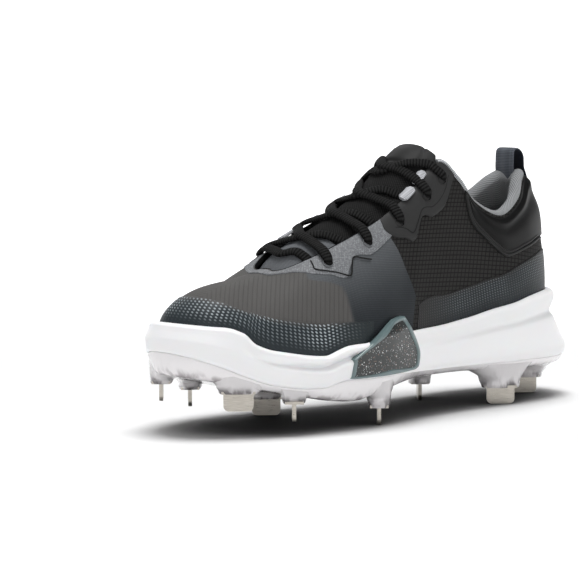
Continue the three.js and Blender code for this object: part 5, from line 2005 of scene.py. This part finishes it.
@dataclass
class Studio:
    """Floor, lamps and the camera at the photograph's angle; the room's sizes are in metres."""

    last: Last
    azimuth: float = 45.0
    elevation: float = 5.5
    distance: float = 1500.0
    scale: float = 1.78
    centre: tuple[float, float, float] = (150.0, 0.0, 60.0)
    image: float = 580.0
    principal: tuple[float, float] = (366.0, 306.1)
    fill: float = 0.12
    room: float = 3.4
    cove: float = 0.35
    # Reach in metres of the occlusion that paints the contact shadow on the floor.
    shade: float = 0.16
    glow: float = 0.95
    glow_ring: tuple[float, float] = (0.3, 1.2)
    lamps: tuple[tuple[str, tuple[float, float, float], float, float], ...] = (
        ("overhead", (0.0, 0.0, 1.9), 1.0, 33.0),
        ("key", (1.1, 0.9, 1.3), 0.8, 4.5),
        ("side", (-0.9, 1.6, 0.9), 0.9, 2.6),
        ("rim", (-0.7, -1.2, 1.1), 0.8, 3.5),
    )

    def camera(self) -> None:
        """Places the camera so that the shoe lies in the picture as in the photograph."""
        a, e = math.radians(self.azimuth), math.radians(self.elevation)
        back = Vector((math.sin(a) * math.cos(e), math.cos(a) * math.cos(e), math.sin(e)))
        right = Vector((-math.cos(a), math.sin(a), 0.0))
        up = right.cross(-back)
        focal = self.scale * self.distance
        offset = [self.image / 2 - self.principal[0], self.principal[1] - self.image / 2]
        forward = (-back * focal + right * offset[0] + up * offset[1]).normalized()
        right = (right - forward * right.dot(forward)).normalized()
        up = right.cross(forward)
        data = bpy.data.cameras.new("camera")
        data.sensor_width = 36.0
        data.lens = data.sensor_width * focal / self.image
        camera = linked("camera", data)
        centre = Vector(self.last.place(np.array(self.centre)).tolist())
        turn = Matrix((right, up, -forward)).transposed().to_4x4()
        camera.matrix_world = Matrix.Translation(centre + back * self.distance * MM) @ turn
        data.clip_end = 20.0
        bpy.context.scene.camera = camera

    def light(self, name: str, place: tuple[float, float, float], size: float, watts: float) -> None:
        """Adds a soft square lamp that faces the shoe.

        Args:
            name: its name.
            place: where it hangs, in metres.
            size: its edge.
            watts: its power.
        """
        data = bpy.data.lights.new(name, "AREA")
        data.shape = "SQUARE"
        data.size = size
        data.energy = watts
        lamp = linked(name, data)
        lamp.location = place
        lamp.rotation_euler = (Vector((0, 0, 0.05)) - Vector(place)).to_track_quat("-Z", "Y").to_euler()

    def surround(self) -> None:
        """Makes the dim room above the backdrop, so that gloss has contrast."""
        world = bpy.data.worlds.new("studio")
        world.use_nodes = True
        background = world.node_tree.nodes["Background"]
        background.inputs["Color"].default_value = (0.97, 0.98, 1.0, 1.0)
        background.inputs["Strength"].default_value = self.fill
        bpy.context.scene.world = world

    def floor(self) -> None:
        """Makes a round pale floor, with a contact shadow painted dark under the shoe, that curves up into a
        faintly lit backdrop on all sides.
        """
        turn = circle(96)
        bend = np.linspace(0, np.pi / 2, 12)
        curve = self.room - self.cove + self.cove * np.sin(bend)
        out = np.concatenate([[0.5, 1.2, 2.0], curve, [self.room]])
        up = np.concatenate([[0, 0, 0], self.cove * (1 - np.cos(bend)), [self.cove + 0.2]])
        points = [(r * math.cos(a), r * math.sin(a), z) for r, z in zip(out, up) for a in turn]
        count = len(turn)
        faces = [tuple(range(count))]
        for k in range(len(out) - 1):
            a, b = k * count, (k + 1) * count
            faces += [(a + i, b + i, b + (i + 1) % count, a + (i + 1) % count) for i in range(count)]
        mesh = bpy.data.meshes.new("floor")
        mesh.from_pydata(points, [], faces)
        mesh.polygons.foreach_set("use_smooth", [True] * len(mesh.polygons))
        floor = linked("floor", mesh)
        tree = Tree("floor")
        # Painted contact shadow: the floor's colour goes near black where occlusion finds the shoe close
        # above.
        near = tree.nodes.new("ShaderNodeAmbientOcclusion")
        near.inputs["Distance"].default_value = self.shade
        under = tree.step(0.12, 0.8, near.outputs["AO"])
        tree.set(Base_Color=tree.mix(under, grey(0.03), grey(0.9)), Roughness=0.8, Specular_IOR_Level=0.06)
        away = tree.nodes.new("ShaderNodeVectorMath")
        away.operation = "LENGTH"
        tree.links.new(tree.nodes.new("ShaderNodeTexCoord").outputs["Object"], away.inputs[0])
        glow = tree.times(tree.step(*self.glow_ring, away.outputs["Value"]), self.glow)
        tree.set(Emission_Strength=glow, Emission_Color=grey(1.0))
        mesh.materials.append(tree.material)

    def build(self) -> None:
        """Builds the whole studio."""
        self.floor()
        self.surround()
        for lamp in self.lamps:
            self.light(*lamp)
        bpy.context.scene.view_settings.view_transform = "Standard"
        self.camera()


def main() -> None:
    """Builds the shoe piece by piece."""
    logging.basicConfig(level=logging.INFO, format="%(name)s: %(message)s")
    last = Last()
    maker = Maker(last)
    Studio(last).build()
    for part in (Upper, Sole, Closure, PullLoop):
        part(last, maker).build()


if __name__ == "__main__":
    main()
